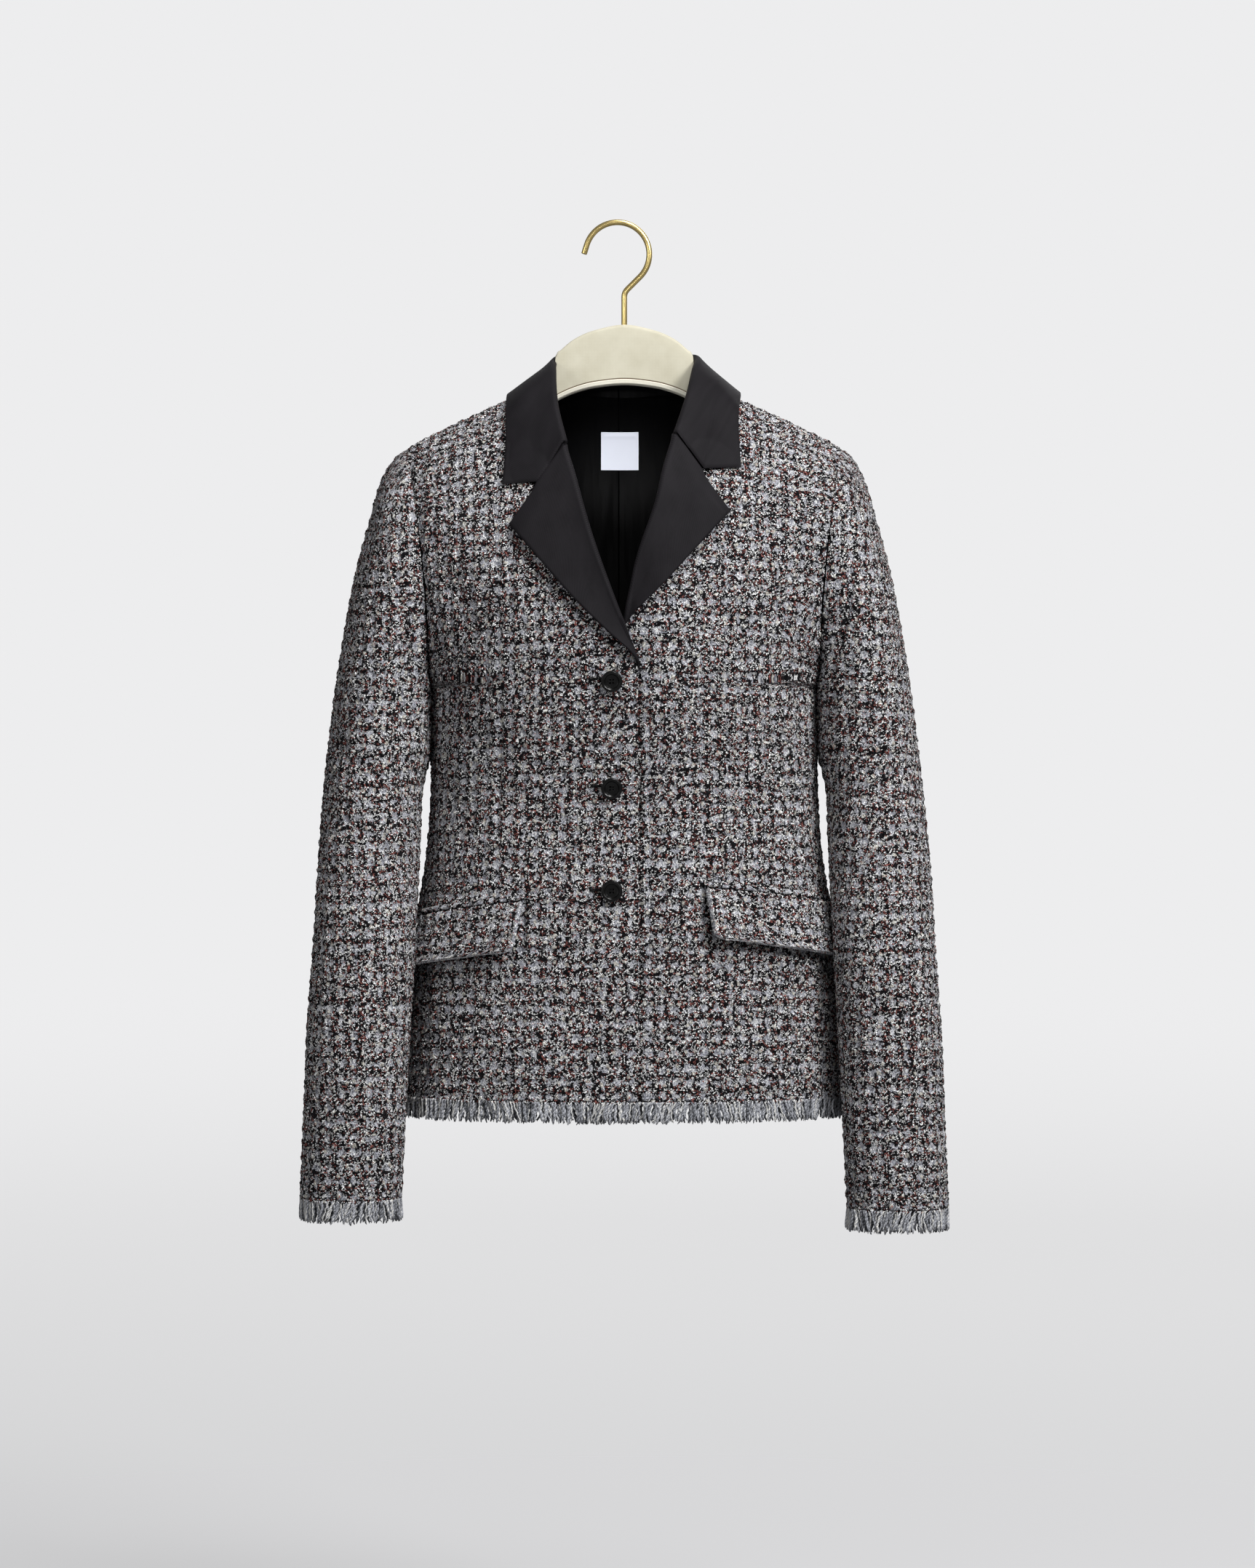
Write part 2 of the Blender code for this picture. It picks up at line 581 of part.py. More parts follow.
def make_collar():
    """The collar's fall, from its fold down over the back, the shoulders and the fronts."""
    last = COLLAR[RIGHT][-1].along
    stations = [last * k / COLLAR_STEPS for k in range(COLLAR_STEPS + 1)]
    rows = [collar_row(RIGHT, along) for along in reversed(stations)]
    rows += [collar_row(LEFT, along) for along in stations[1:]]
    laid_wall("collar", rows, FACING, SATIN, 0.5)


def make_stand():
    """The collar's stand, from the back's neck seam up to the fold, inside the fall."""
    rows = []
    for side in (RIGHT, LEFT):
        half = []
        for k in range(STAND_ROWS + 1):
            share = k / STAND_ROWS
            fold = collar_row(side, STAND_STATIONS * share)[0]
            turn = math.pi / 2 * share
            level = 2.0 - (2.0 - BACK_NECK_LEVEL) * math.cos(turn)
            x = row_start(side, BACK, level)
            seam = body_point(side, BACK, level, angle_at(BACK, level, x))
            foot, top = seam + STAND_FOOT, fold + STAND_TOP
            half.append([foot, foot.lerp(top, 0.5), top])
        rows += list(reversed(half)) if side == RIGHT else half[1:]
    normals = normals_of([rows])
    outwards = sum(point.y * normals[place(point)].y for row in rows for point in row)
    distance = -FACING if outwards > 0 else FACING
    wall("collar_stand", rows, moved(rows, normals, distance), SATIN, 0.5)


# ------------------------------------------------------------------ pockets, buttons, label
def flap_point(side, angle, z, out):
    """A point on a front at an angle round the body and a height."""
    level = level_at(side, FRONT, POCKET_X, z)
    return shell_at(side, FRONT, half_width(level) * math.sin(angle), z, out)


def make_pocket(side):
    """A flap that hangs from a narrow welt."""
    flap = FLAP[side]

    def seam_z(angle):
        share = (angle - flap.near_angle) / (flap.far_angle - flap.near_angle)
        return flap.near_z + (flap.far_z - flap.near_z) * share

    rows = []
    for share in reversed(FLAP_ROWS):
        below_corner = min(FLAP_CORNER, max(0.0, FLAP_HEIGHT * share - (FLAP_HEIGHT - FLAP_CORNER)))
        rounding = FLAP_CORNER - math.sqrt(FLAP_CORNER ** 2 - below_corner ** 2)
        near = flap.near_angle + FLAP_SLANT * share + rounding / half_width(POCKET_LEVEL)
        row = []
        for k in range(FLAP_COLUMNS + 1):
            angle = near + (flap.far_angle - near) * k / FLAP_COLUMNS
            out = FACET_ROOM + FLAP_LIFT * share
            row.append(flap_point(side, angle, seam_z(angle) - FLAP_HEIGHT * share, out))
        rows.append(row)
    laid_wall(SIDE_NAME[side] + "_pocket_flap", rows, FLAP_CLOTH, TWEED, 0.9)

    rows = []
    for rise in (SEAM_GAP, WELT_HEIGHT):
        row = []
        for k in range(FLAP_COLUMNS + 1):
            angle = flap.near_angle + (flap.far_angle - flap.near_angle) * k / FLAP_COLUMNS
            row.append(flap_point(side, angle, seam_z(angle) + rise, FACET_ROOM))
        rows.append(row)
    laid_wall(SIDE_NAME[side] + "_pocket_welt", rows, WELT_CLOTH, TWEED, 0.9)


def make_buttons():
    """Three turned four-hole buttons on the right front."""
    points = [(point.radius, 0.0, point.rise) for point in BUTTON_PROFILE]
    edges = [(k, k + 1) for k in range(len(points) - 1)]
    for name, height in BUTTON_HEIGHTS.items():
        mesh = bpy.data.meshes.new(name + "_button")
        mesh.from_pydata(points, edges, [])
        button = bpy.data.objects.new(name + "_button", mesh)
        turned = button.modifiers.new("turned", "SCREW")
        turned.steps = turned.render_steps = BUTTON_SEGMENTS
        turned.use_merge_vertices = True
        turned.merge_threshold = 0.00005
        centre = shell_at(RIGHT, FRONT, BUTTON_X, height, FACET_ROOM)
        outwards = shell_at(RIGHT, FRONT, BUTTON_X, height, 10 * MM) - centre
        turn = outwards.to_track_quat("Z", "Y")
        button.location = centre
        button.rotation_mode = "QUATERNION"
        button.rotation_quaternion = turn
        finished(button, BLACK, 0.3)

        holes = bmesh.new()
        for k in range(4):
            angle = BUTTON_HOLE_TURN + math.radians(45 + 90 * k)
            hole = bmesh.ops.create_cone(
                holes, cap_ends=True, segments=8, depth=4 * BUTTON_PROFILE[0].rise,
                radius1=BUTTON_HOLE_RADIUS, radius2=BUTTON_HOLE_RADIUS)
            spread = Vector((math.cos(angle), math.sin(angle), 0)) * BUTTON_HOLE_SPREAD
            bmesh.ops.translate(holes, verts=hole["verts"], vec=spread)
        hole_mesh = bpy.data.meshes.new(name + "_button_holes")
        holes.to_mesh(hole_mesh)
        holes.free()
        cutter = bpy.data.objects.new(name + "_button_holes", hole_mesh)
        cutter.location = centre
        cutter.rotation_mode = "QUATERNION"
        cutter.rotation_quaternion = turn
        cut_with(button, cutter)


def cut_with(obj, cutter):
    """Cuts an object with a hidden one."""
    cutters.objects.link(cutter)
    cutter.hide_render = True
    cutter.display_type = "WIRE"
    cut = obj.modifiers.new("cut", "BOOLEAN")
    cut.operation = "DIFFERENCE"
    cut.object = cutter


def make_label():
    """The blank label on the lining, under the back neck."""
    inside = CLOTH + REST_GAP + LINING + FACET_ROOM
    grids = []
    for under in (inside, inside + LABEL_CLOTH):
        rows = []
        for j in range(LABEL_ROWS + 1):
            z = LABEL_TOP_Z - LABEL_SIZE * j / LABEL_ROWS
            row = []
            for k in range(LABEL_COLUMNS + 1):
                x = LABEL_CENTRE_X + LABEL_SIZE * (k / LABEL_COLUMNS - 0.5)
                row.append(shell_at(RIGHT if x < 0 else LEFT, BACK, abs(x), z, -under))
            rows.append(row)
        grids.append(rows)
    wall("neck_label", grids[0], grids[1], WHITE, 0.8)


# ------------------------------------------------------------------ hanger
def make_hanger():
    """The covered hanger: a flat board with a broad head, bored for the hook's stem."""
    top = [(s.x, s.top) for s in HANGER]
    bottom = [(s.x, s.bottom) for s in reversed(HANGER)]
    right_half = top + bottom
    left_half = [(-x, z) for x, z in reversed(right_half)][1:-1]
    curve = bpy.data.curves.new("hanger_outline", "CURVE")
    curve.dimensions = "2D"
    curve.fill_mode = "BOTH"
    curve.extrude = HANGER_THICKNESS / 2 - HANGER_ROUNDING
    curve.bevel_depth = HANGER_ROUNDING
    curve.bevel_resolution = 1
    curve.offset = -HANGER_ROUNDING
    spline = curve.splines.new("POLY")
    outline = right_half + left_half
    spline.points.add(len(outline) - 1)
    for point, (x, z) in zip(spline.points, outline):
        point.co = (x, z, 0.0, 1.0)
    spline.use_cyclic_u = True
    drawn = bpy.data.objects.new("hanger_outline", curve)
    jacket.objects.link(drawn)
    drawn.rotation_euler.x = math.radians(90)
    bpy.context.view_layer.update()
    graph = bpy.context.evaluated_depsgraph_get()
    mesh = bpy.data.meshes.new_from_object(drawn.evaluated_get(graph))
    mesh.transform(drawn.matrix_world)
    bpy.data.objects.remove(drawn)
    solid = bmesh.new()
    solid.from_mesh(mesh)
    bmesh.ops.remove_doubles(solid, verts=solid.verts, dist=0.00002)
    bmesh.ops.recalc_face_normals(solid, faces=solid.faces)
    solid.to_mesh(mesh)
    solid.free()
    hanger = finished(bpy.data.objects.new("hanger", mesh), CREAM, 0.85)

    bore = bmesh.new()
    radius = WIRE_RADIUS + STEM_CLEAR
    depth = STEM_IN_HEAD + STEM_CLEAR
    bmesh.ops.create_cone(bore, cap_ends=True, segments=16, radius1=radius, radius2=radius, depth=2 * depth)
    bore_mesh = bpy.data.meshes.new("stem_bore")
    bore.to_mesh(bore_mesh)
    bore.free()
    cutter = bpy.data.objects.new("stem_bore", bore_mesh)
    cutter.location.z = HANGER[0].top
    cut_with(hanger, cutter)


def make_hook():
    """The wire hook: a straight tip, a round bend, a diagonal back to the stem and the stem."""
    inner = HOOK_RADIUS - WIRE_RADIUS
    centre_z = -math.sqrt(inner ** 2 - HOOK_CENTRE_X ** 2)
    points = []
    tangent = (-math.sin(HOOK_START), math.cos(HOOK_START))
    start = (HOOK_CENTRE_X + HOOK_RADIUS * math.cos(HOOK_START),
             centre_z + HOOK_RADIUS * math.sin(HOOK_START))
    points.append((start[0] + tangent[0] * HOOK_TIP_LENGTH, start[1] + tangent[1] * HOOK_TIP_LENGTH))
    for k in range(HOOK_STEPS + 1):
        angle = HOOK_START + (HOOK_END - HOOK_START) * k / HOOK_STEPS
        points.append((HOOK_CENTRE_X + HOOK_RADIUS * math.cos(angle),
                       centre_z + HOOK_RADIUS * math.sin(angle)))
    leave_x, leave_z = points[-1]
    corner_z = leave_z - leave_x        # the diagonal runs at 45 degrees to the stem's line
    diagonal = Vector((HOOK_CORNER, corner_z + HOOK_CORNER))
    corner = Vector((0.0, corner_z))
    stem = Vector((0.0, corner_z - HOOK_CORNER_BELOW))
    for k in range(HOOK_CORNER_STEPS + 1):          # a soft corner from the diagonal into the stem
        share = k / HOOK_CORNER_STEPS
        point = diagonal.lerp(corner, share).lerp(corner.lerp(stem, share), share)
        points.append((point.x, point.y))
    points.append((0.0, HANGER[0].top - STEM_IN_HEAD))
    curve = bpy.data.curves.new("hook", "CURVE")
    curve.dimensions = "3D"
    curve.bevel_depth = WIRE_RADIUS
    curve.bevel_resolution = 2
    curve.use_fill_caps = True
    spline = curve.splines.new("POLY")
    spline.points.add(len(points) - 1)
    for spline_point, (x, z) in zip(spline.points, points):
        spline_point.co = (x, 0.0, z, 1.0)
    finished(bpy.data.objects.new("hook", curve), GOLD, 0.25, 1.0)


# ------------------------------------------------------------------ the scene
for old in list(bpy.data.objects):
    bpy.data.objects.remove(old)
jacket = bpy.data.collections.new("tweed_jacket_on_hanger")
cutters = bpy.data.collections.new("cutters")
bpy.context.scene.collection.children.link(jacket)
bpy.context.scene.collection.children.link(cutters)

shell = {side: make_shell_panels(side) for side in (RIGHT, LEFT)}
make_fringes(shell)
for side in (RIGHT, LEFT):
    make_lapel(side)
    make_pocket(side)
make_collar()
make_stand()
make_buttons()
make_label()
make_hanger()
make_hook()
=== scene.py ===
"""A cropped tweed jacket on a coat hanger: the look of each piece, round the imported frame.

Metres, +Z up, the front towards -Y. "right" and "left" are the wearer's, so "right" is at -X.
The pieces follow in the order they are put together, from the hook down to the fringe.
"""

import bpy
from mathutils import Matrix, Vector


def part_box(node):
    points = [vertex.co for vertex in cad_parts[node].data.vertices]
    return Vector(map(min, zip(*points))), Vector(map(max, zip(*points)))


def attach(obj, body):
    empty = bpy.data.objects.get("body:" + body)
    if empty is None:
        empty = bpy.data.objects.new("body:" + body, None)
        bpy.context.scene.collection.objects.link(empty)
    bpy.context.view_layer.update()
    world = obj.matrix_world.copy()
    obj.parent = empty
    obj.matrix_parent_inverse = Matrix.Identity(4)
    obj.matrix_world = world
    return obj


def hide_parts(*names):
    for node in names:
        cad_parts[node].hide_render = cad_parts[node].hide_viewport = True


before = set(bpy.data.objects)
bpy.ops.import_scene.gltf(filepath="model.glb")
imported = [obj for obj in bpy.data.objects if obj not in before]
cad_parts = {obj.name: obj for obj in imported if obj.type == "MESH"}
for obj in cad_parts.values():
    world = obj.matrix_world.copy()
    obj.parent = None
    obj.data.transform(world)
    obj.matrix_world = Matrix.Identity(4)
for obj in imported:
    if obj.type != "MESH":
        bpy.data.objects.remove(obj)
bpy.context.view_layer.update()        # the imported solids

import math
from collections import namedtuple

import bmesh
import bpy
import numpy as np
from mathutils import Vector

bpy.context.scene.view_settings.view_transform = "Standard"
MM = 0.001


# ---------------------------------------------------------------------------------------- the hook
# One length of 4.9 mm steel wire, bent cold over a former, brass plated and polished. Its stem is
# pressed into the head of the hanger, where the real one turns.

def linear(colour):
    """The linear red, green, blue and alpha of an sRGB hex colour."""
    parts = [int(colour[k:k + 2], 16) / 255 for k in (1, 3, 5)]
    return (*[p / 12.92 if p <= 0.04045 else ((p + 0.055) / 1.055) ** 2.4 for p in parts], 1.0)


def add(tree, kind, inputs=None, **settings):
    """Adds a node with its settings, and fills or links its inputs."""
    node = tree.nodes.new("ShaderNode" + kind)
    for name, value in settings.items():
        setattr(node, name, value)
    for socket, value in (inputs or {}).items():
        if isinstance(value, bpy.types.NodeSocket):
            tree.links.new(value, node.inputs[socket])
        else:
            node.inputs[socket].default_value = value
    return node


def ranged(tree, value, low, high, to_low=0.0, to_high=1.0, **settings):
    """Adds a Map Range that takes low and high to to_low and to_high; returns its result."""
    inputs = {"Value": value, "From Min": low, "From Max": high, "To Min": to_low, "To Max": to_high}
    return add(tree, "MapRange", inputs, **settings).outputs["Result"]


def new_material(name, **sockets):
    """A Principled material with its sockets set; returns it, its node tree and its shader."""
    material = bpy.data.materials.new(name)
    material.use_nodes = True
    shader = material.node_tree.nodes["Principled BSDF"]
    for socket, value in sockets.items():
        value = linear(value) if isinstance(value, str) else value
        shader.inputs[socket.replace("_", " ")].default_value = value
    return material, material.node_tree, shader


def alone(piece):
    """Makes a piece the only selected one, and the active one."""
    bpy.ops.object.select_all(action="DESELECT")
    piece.select_set(True)
    bpy.context.view_layer.objects.active = piece


def fix(piece, slot, *solids):
    """Fixes a finished piece in the jacket's one body, in place of its plain solids."""
    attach(piece, "root")
    if solids:
        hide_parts(*solids)


# Polished brass plate: a warm metal with long soft highlights and fine drawing marks in the wire.
brass, tree, shader = new_material("polished_brass_plate", Base_Color="#dcc585", Metallic=1.0, Roughness=0.24)
place = add(tree, "TexCoord").outputs["Object"]
wear = add(tree, "TexNoise", {"Vector": place, "Scale": 1 / (25 * MM), "Detail": 1.0})
tree.links.new(ranged(tree, wear.outputs["Fac"], 0, 1, 0.28, 0.36), shader.inputs["Roughness"])

WIRE_RADIUS = 2.45 * MM
BEND_RADIUS, BEND_X = 26.8 * MM, -5.8 * MM     # of the wire's middle line
TIP_LENGTH = 8 * MM
CORNER_RADIUS = 9 * MM       # where the bend's slanting end turns down into the stem
TIP_TURN, NECK_TURN = math.radians(163), math.radians(-45)
bend_centre = Vector((BEND_X, 0, -math.sqrt((BEND_RADIUS - WIRE_RADIUS) ** 2 - BEND_X ** 2)))
along_tip = Vector((math.sin(TIP_TURN), 0, -math.cos(TIP_TURN)))
tip = bend_centre + Vector((math.cos(TIP_TURN), 0, math.sin(TIP_TURN))) * BEND_RADIUS
bpy.ops.object.select_all(action="DESELECT")
bpy.ops.mesh.primitive_circle_add(
    vertices=20, radius=WIRE_RADIUS, fill_type="NGON", location=tip - along_tip * TIP_LENGTH,
    rotation=(0, math.atan2(along_tip.x, along_tip.z), 0))
hook = bpy.context.object
hook.name = "wire_hook"
bpy.ops.object.mode_set(mode="EDIT")
bpy.ops.mesh.extrude_region_move(TRANSFORM_OT_translate={"value": along_tip * TIP_LENGTH})
bpy.ops.mesh.spin(steps=56, angle=TIP_TURN - NECK_TURN, center=bend_centre, axis=(0, -1, 0))
diagonal = Vector((math.sin(NECK_TURN), 0, -math.cos(NECK_TURN)))
neck = bend_centre + Vector((math.cos(NECK_TURN), 0, math.sin(NECK_TURN))) * BEND_RADIUS
run = neck.x * math.sqrt(2) - CORNER_RADIUS * math.tan(math.radians(22.5))
bpy.ops.mesh.extrude_region_move(TRANSFORM_OT_translate={"value": diagonal * run})
corner_z = (neck + diagonal * run).z - CORNER_RADIUS * math.sin(math.radians(45))
bpy.ops.mesh.spin(steps=8, angle=math.radians(45), center=(CORNER_RADIUS, 0, corner_z), axis=(0, 1, 0))
stem = Vector((0, 0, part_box("hook")[0].z - corner_z))
bpy.ops.mesh.extrude_region_move(TRANSFORM_OT_translate={"value": stem})
bpy.ops.mesh.select_all(action="SELECT")
bpy.ops.mesh.remove_doubles(threshold=0.02 * MM)
bpy.ops.mesh.normals_make_consistent(inside=False)
bpy.ops.object.mode_set(mode="OBJECT")
bpy.ops.object.transform_apply()
rounding = hook.modifiers.new("cut ends", "BEVEL")
rounding.width, rounding.segments, rounding.angle_limit = 0.45 * MM, 3, math.radians(50)
bpy.ops.object.modifier_apply(modifier=rounding.name)
bpy.ops.object.shade_smooth_by_angle(angle=math.radians(35))
hook.data.materials.append(brass)
fix(hook, "hook_wire", "hook")


# -------------------------------------------------------------------------------------- the hanger
# A beech board 12 mm thick with a broad head, padded and covered in cream cotton cloth glued round
# its edges. A fine brown cord closes the cover above a narrow strip along its lower edge.

def new_piece(name, points, faces, materials, finish=None, sharp=None):
    """A mesh piece from points and faces; finish gives each face's material number."""
    mesh = bpy.data.meshes.new(name)
    mesh.from_pydata([tuple(p) for p in points], [], [tuple(f) for f in faces])
    for material in materials:
        mesh.materials.append(material)
    if finish is not None:
        mesh.polygons.foreach_set("material_index", finish)
    mesh.shade_smooth()
    if sharp:
        mesh.set_sharp_from_angle(angle=math.radians(sharp))
    mesh.update()
    piece = bpy.data.objects.new(name, mesh)
    bpy.context.scene.collection.objects.link(piece)
    return piece


def curve_through(table, key, value):
    """A smooth function of a table's key column through its value column, for arrays too."""
    keys = np.array([getattr(row, key) for row in table], float)
    values = np.array([getattr(row, value) for row in table], float)
    slopes = np.gradient(values, keys)
    slopes[1:-1] = (values[2:] - values[:-2]) / (keys[2:] - keys[:-2])

    def read(at):
        i = np.clip(np.searchsorted(keys, at, side="right") - 1, 0, len(keys) - 2)
        span = keys[i + 1] - keys[i]
        t = np.clip((at - keys[i]) / span, 0, 1)
        start = (1 + 2 * t) * (1 - t) ** 2 * values[i] + t * (1 - t) ** 2 * span * slopes[i]
        return start + t * t * (3 - 2 * t) * values[i + 1] + t * t * (t - 1) * span * slopes[i + 1]

    return read


def maths(tree, operation, *values, clamp=False):
    """Adds a Math node on numbers and other nodes' results; returns its own result."""
    return add(tree, "Math", dict(enumerate(values)), operation=operation, use_clamp=clamp).outputs[0]


def colours(tree, at, *stops):
    """Adds a colour ramp read at a node's result, from (position, sRGB hex) stops; returns its colour."""
    ramp = add(tree, "ValToRGB", {"Fac": at})
    elements = ramp.color_ramp.elements
    for element, (position, colour) in zip(elements, (stops[0], stops[-1])):
        element.position, element.color = position, linear(colour)
    for position, colour in stops[1:-1]:
        elements.new(position).color = linear(colour)
    return ramp.outputs["Color"]


def bumped(tree, shader, height, strength, distance):
    """Lets a height ruffle a shader's surface, so strongly and over such a distance."""
    bump = add(tree, "Bump", {"Height": height, "Strength": strength, "Distance": distance})
    tree.links.new(bump.outputs["Normal"], shader.inputs["Normal"])


def ribs_of(tree, place, pitch, direction, **more):
    """Adds straight ribs or threads, so far apart; returns how high they are, from 0 to 1."""
    inputs = {"Vector": place, "Scale": math.pi / 10 / pitch}
    inputs.update({name.replace("_", " "): value for name, value in more.items()})
    return add(tree, "TexWave", inputs, bands_direction=direction).outputs["Fac"]


# Cotton canvas: matt, with a plain weave whose threads catch light, a little uneven in tone. Its
# threads, 0.4 mm apart in the real cloth, are drawn 0.8 mm apart so that they show.
canvas, tree, shader = new_material("cream_cotton_canvas", Roughness=0.88, Sheen_Weight=0.15)
CANVAS_THREAD = 0.8 * MM
place = add(tree, "TexCoord").outputs["Object"]
across, along = (ribs_of(tree, place, CANVAS_THREAD, direction, Distortion=1.2, Detail=1.0, Detail_Scale=2.0)
                 for direction in ("X", "Z"))
threads = maths(tree, "ADD", across, along)
cloudy = add(tree, "TexNoise", {"Vector": place, "Scale": 1 / (14 * MM), "Detail": 5.0})
# painted highlight: the threads lighten the cream as well as the bump
tone = maths(tree, "MULTIPLY_ADD", threads, 0.07, cloudy.outputs["Fac"])
cream = colours(tree, tone, (0.35, "#bcb7a3"), (0.95, "#cbc7b5"))
tree.links.new(cream, shader.inputs["Base Color"])
bumped(tree, shader, threads, 0.2, 0.1 * MM)

# Waxed cotton cord, brown, and the smooth cream binding under it.
brown_cord, _, _ = new_material("brown_waxed_cord", Base_Color="#664b2f", Roughness=0.6)
binding, tree, shader = new_material("cream_cotton_binding", Base_Color="#e8e4d4", Roughness=0.7)
ribs = ribs_of(tree, add(tree, "TexCoord").outputs["Object"], 0.8 * MM, "X")
bumped(tree, shader, ribs, 0.25, 0.1 * MM)

HangerStation = namedtuple("HangerStation", "x top bottom")
HANGER = [
    HangerStation(0.0000, -0.0830, -0.1336),
    HangerStation(0.0240, -0.0880, -0.1362),
    HangerStation(0.0380, -0.0950, -0.1405),
    HangerStation(0.0490, -0.1045, -0.1455),
    HangerStation(0.0530, -0.1090, -0.1478),
    HangerStation(0.0545, -0.1250, -0.1485),
    HangerStation(0.0560, -0.1380, -0.1500),
    HangerStation(0.0800, -0.1470, -0.1660),
    HangerStation(0.1100, -0.1570, -0.1850),
    HangerStation(0.1400, -0.1720, -0.2020),
    HangerStation(0.1600, -0.1840, -0.2130),
    HangerStation(0.1680, -0.1960, -0.2080),
]
BOARD = 12 * MM
ROUNDING = 3.2 * MM          # of its top edge
PADDING = 0.5 * MM           # how far the cover is padded out at its middle
COVER_FOOT = 6.2 * MM        # the cover's lower end, above the board's lower edge
CORD_DIP = 0.5 * MM

# Down the board's face from the cover's end: how deep each point lies in and how high.
EdgePoint = namedtuple("EdgePoint", "sunk height")
LOWER_EDGE = [
    EdgePoint(0.0, 5.8 * MM),
    EdgePoint(CORD_DIP, 5.4 * MM),      # the cord
    EdgePoint(CORD_DIP, 4.8 * MM),
    EdgePoint(0.3 * MM, 4.3 * MM),      # the binding strip
    EdgePoint(1.0 * MM, 1.6 * MM),
    EdgePoint(2.6 * MM, 0.3 * MM),
    EdgePoint(BOARD / 2, 0.0),
]


def board_ring(x, top, bottom):
    """Points round the board at one station: the front from its top down, then the back up."""
    half = BOARD / 2
    edge = min(ROUNDING, (top - bottom) / 2.2)
    side = []                # depth out of the middle plane, and height
    for k in range(5):
        turn = math.radians(90 - 22.5 * k)
        side.append((half - edge + edge * math.cos(turn), top - edge + edge * math.sin(turn)))
    for share in (0.2, 0.4, 0.6, 0.8):
        z = top - edge + (bottom + COVER_FOOT - top + edge) * share
        side.append((half + PADDING * math.sin(math.pi * share), z))
    side += [(half - point.sunk, bottom + point.height) for point in LOWER_EDGE]
    front = [(x, -depth, z) for depth, z in side]
    return front + [(x, depth, z) for depth, z in reversed(side[1:-1])]


past_middle = [HANGER[1]._replace(x=-HANGER[1].x), *HANGER]
top_of, bottom_of = curve_through(past_middle, "x", "top"), curve_through(past_middle, "x", "bottom")
half_stations = []
for before, after in zip(HANGER, HANGER[1:]):
    steps = max(2, round((after.x - before.x) / (3 * MM)))
    half_stations += [before.x + (after.x - before.x) * k / steps for k in range(steps)]
half_stations += [HANGER[-1].x]
stations = [-x for x in reversed(half_stations[1:])] + half_stations
rings = [board_ring(x, float(top_of(abs(x))), float(bottom_of(abs(x)))) for x in stations]
HEAD_FULLNESS = 4.5 * MM     # how much further each way the padded head reaches than its board
HEAD_SIDE, SHOULDER_FROM, SHOULDER_TO = 0.050, 0.056, 0.090
for ring in rings:
    reach = abs(ring[0][0])
    if reach < SHOULDER_TO:
        rise = min(reach / HEAD_SIDE, 1.0)
        fade = min(1, (SHOULDER_TO - reach) / (SHOULDER_TO - SHOULDER_FROM))
        fuller = HEAD_FULLNESS * rise * rise * (3 - 2 * rise) * fade
        ring[:] = [(x + math.copysign(fuller, x), y, z) for x, y, z in ring]
around = len(rings[0])
CORD_AT, STRIP_FROM = 10, 11     # places in the ring where the cord and the binding strip start
faces, finish = [], []
for i in range(len(rings) - 1):
    for k in range(around):
        a, b = i * around + k, i * around + (k + 1) % around
        faces.append((a, a + around, b + around, b))
        mirrored = k if k < around // 2 else around - 1 - k
        finish.append(1 if mirrored == CORD_AT else 2 if mirrored >= STRIP_FROM else 0)
for start, turned in ((0, False), ((len(rings) - 1) * around, True)):
    cap = list(range(start, start + around))
    faces.append(tuple(reversed(cap)) if turned else tuple(cap))
    finish.append(0)
hanger = new_piece("covered_hanger", sum(rings, []), faces, [canvas, brown_cord, binding], finish, sharp=35)
alone(hanger)
bpy.ops.object.mode_set(mode="EDIT")
bpy.ops.mesh.select_all(action="SELECT")
bpy.ops.mesh.normals_make_consistent(inside=False)
bpy.ops.object.mode_set(mode="OBJECT")
fix(hanger, "hanger_cloth", "hanger")


# ---------------------------------------------------------------------------- the fronts and backs
# Four panels of looped tweed on light fusing, 2 mm thick and lined in black. Each front has a waist
# dart; the backs meet in a centre seam. The right front lies over the left one.

RIGHT, LEFT = -1, 1
FRONT, BACK = -1, 1
SIDE_NAME = {RIGHT: "right", LEFT: "left"}

# The body's rings. Level 0 is the hem, 1 the underarm, 2 the shoulder seam.
Section = namedtuple("Section", "level height half_width front_depth back_depth")
SECTIONS = [
    Section(0.00, -0.729, 0.1900, 0.104, 0.092),   # hem
    Section(0.25, -0.645, 0.1835, 0.101, 0.088),   # hip
    Section(0.48, -0.567, 0.1740, 0.097, 0.081),   # pocket
    Section(0.70, -0.488, 0.1635, 0.093, 0.073),   # waist
    Section(0.85, -0.440, 0.1610, 0.098, 0.076),   # ribs
    Section(1.00, -0.386, 0.1610, 0.105, 0.083),   # underarm
    Section(1.25, -0.318, 0.1610, 0.106, 0.088),   # bust
    Section(1.50, -0.240, 0.1610, 0.094, 0.086),   # chest
    Section(1.75, -0.166, 0.1610, 0.067, 0.070),   # yoke
    Section(1.90, -0.128, 0.1610, 0.037, 0.044),
    Section(2.00, -0.1175, 0.1610, 0.000, 0.000),  # shoulder seam
]
SIDE_SEAM_TURN, ARMHOLE_TURN = math.radians(90), math.radians(62)    # how far round a row goes
ROW_TILT_ROUND = 0.35        # how much of a tilted row stays level at the middle
UNDERLAP_DROP = 4.5 * MM     # how far the left front lies under the right one
ARMHOLE_TOP, ARMHOLE_FOOT = (0.1820, -0.186), (0.1610, -0.386)       # x and z
ARMHOLE_HALF_DEPTH, ARMHOLE_HOLLOW = 0.056, 4.5 * MM

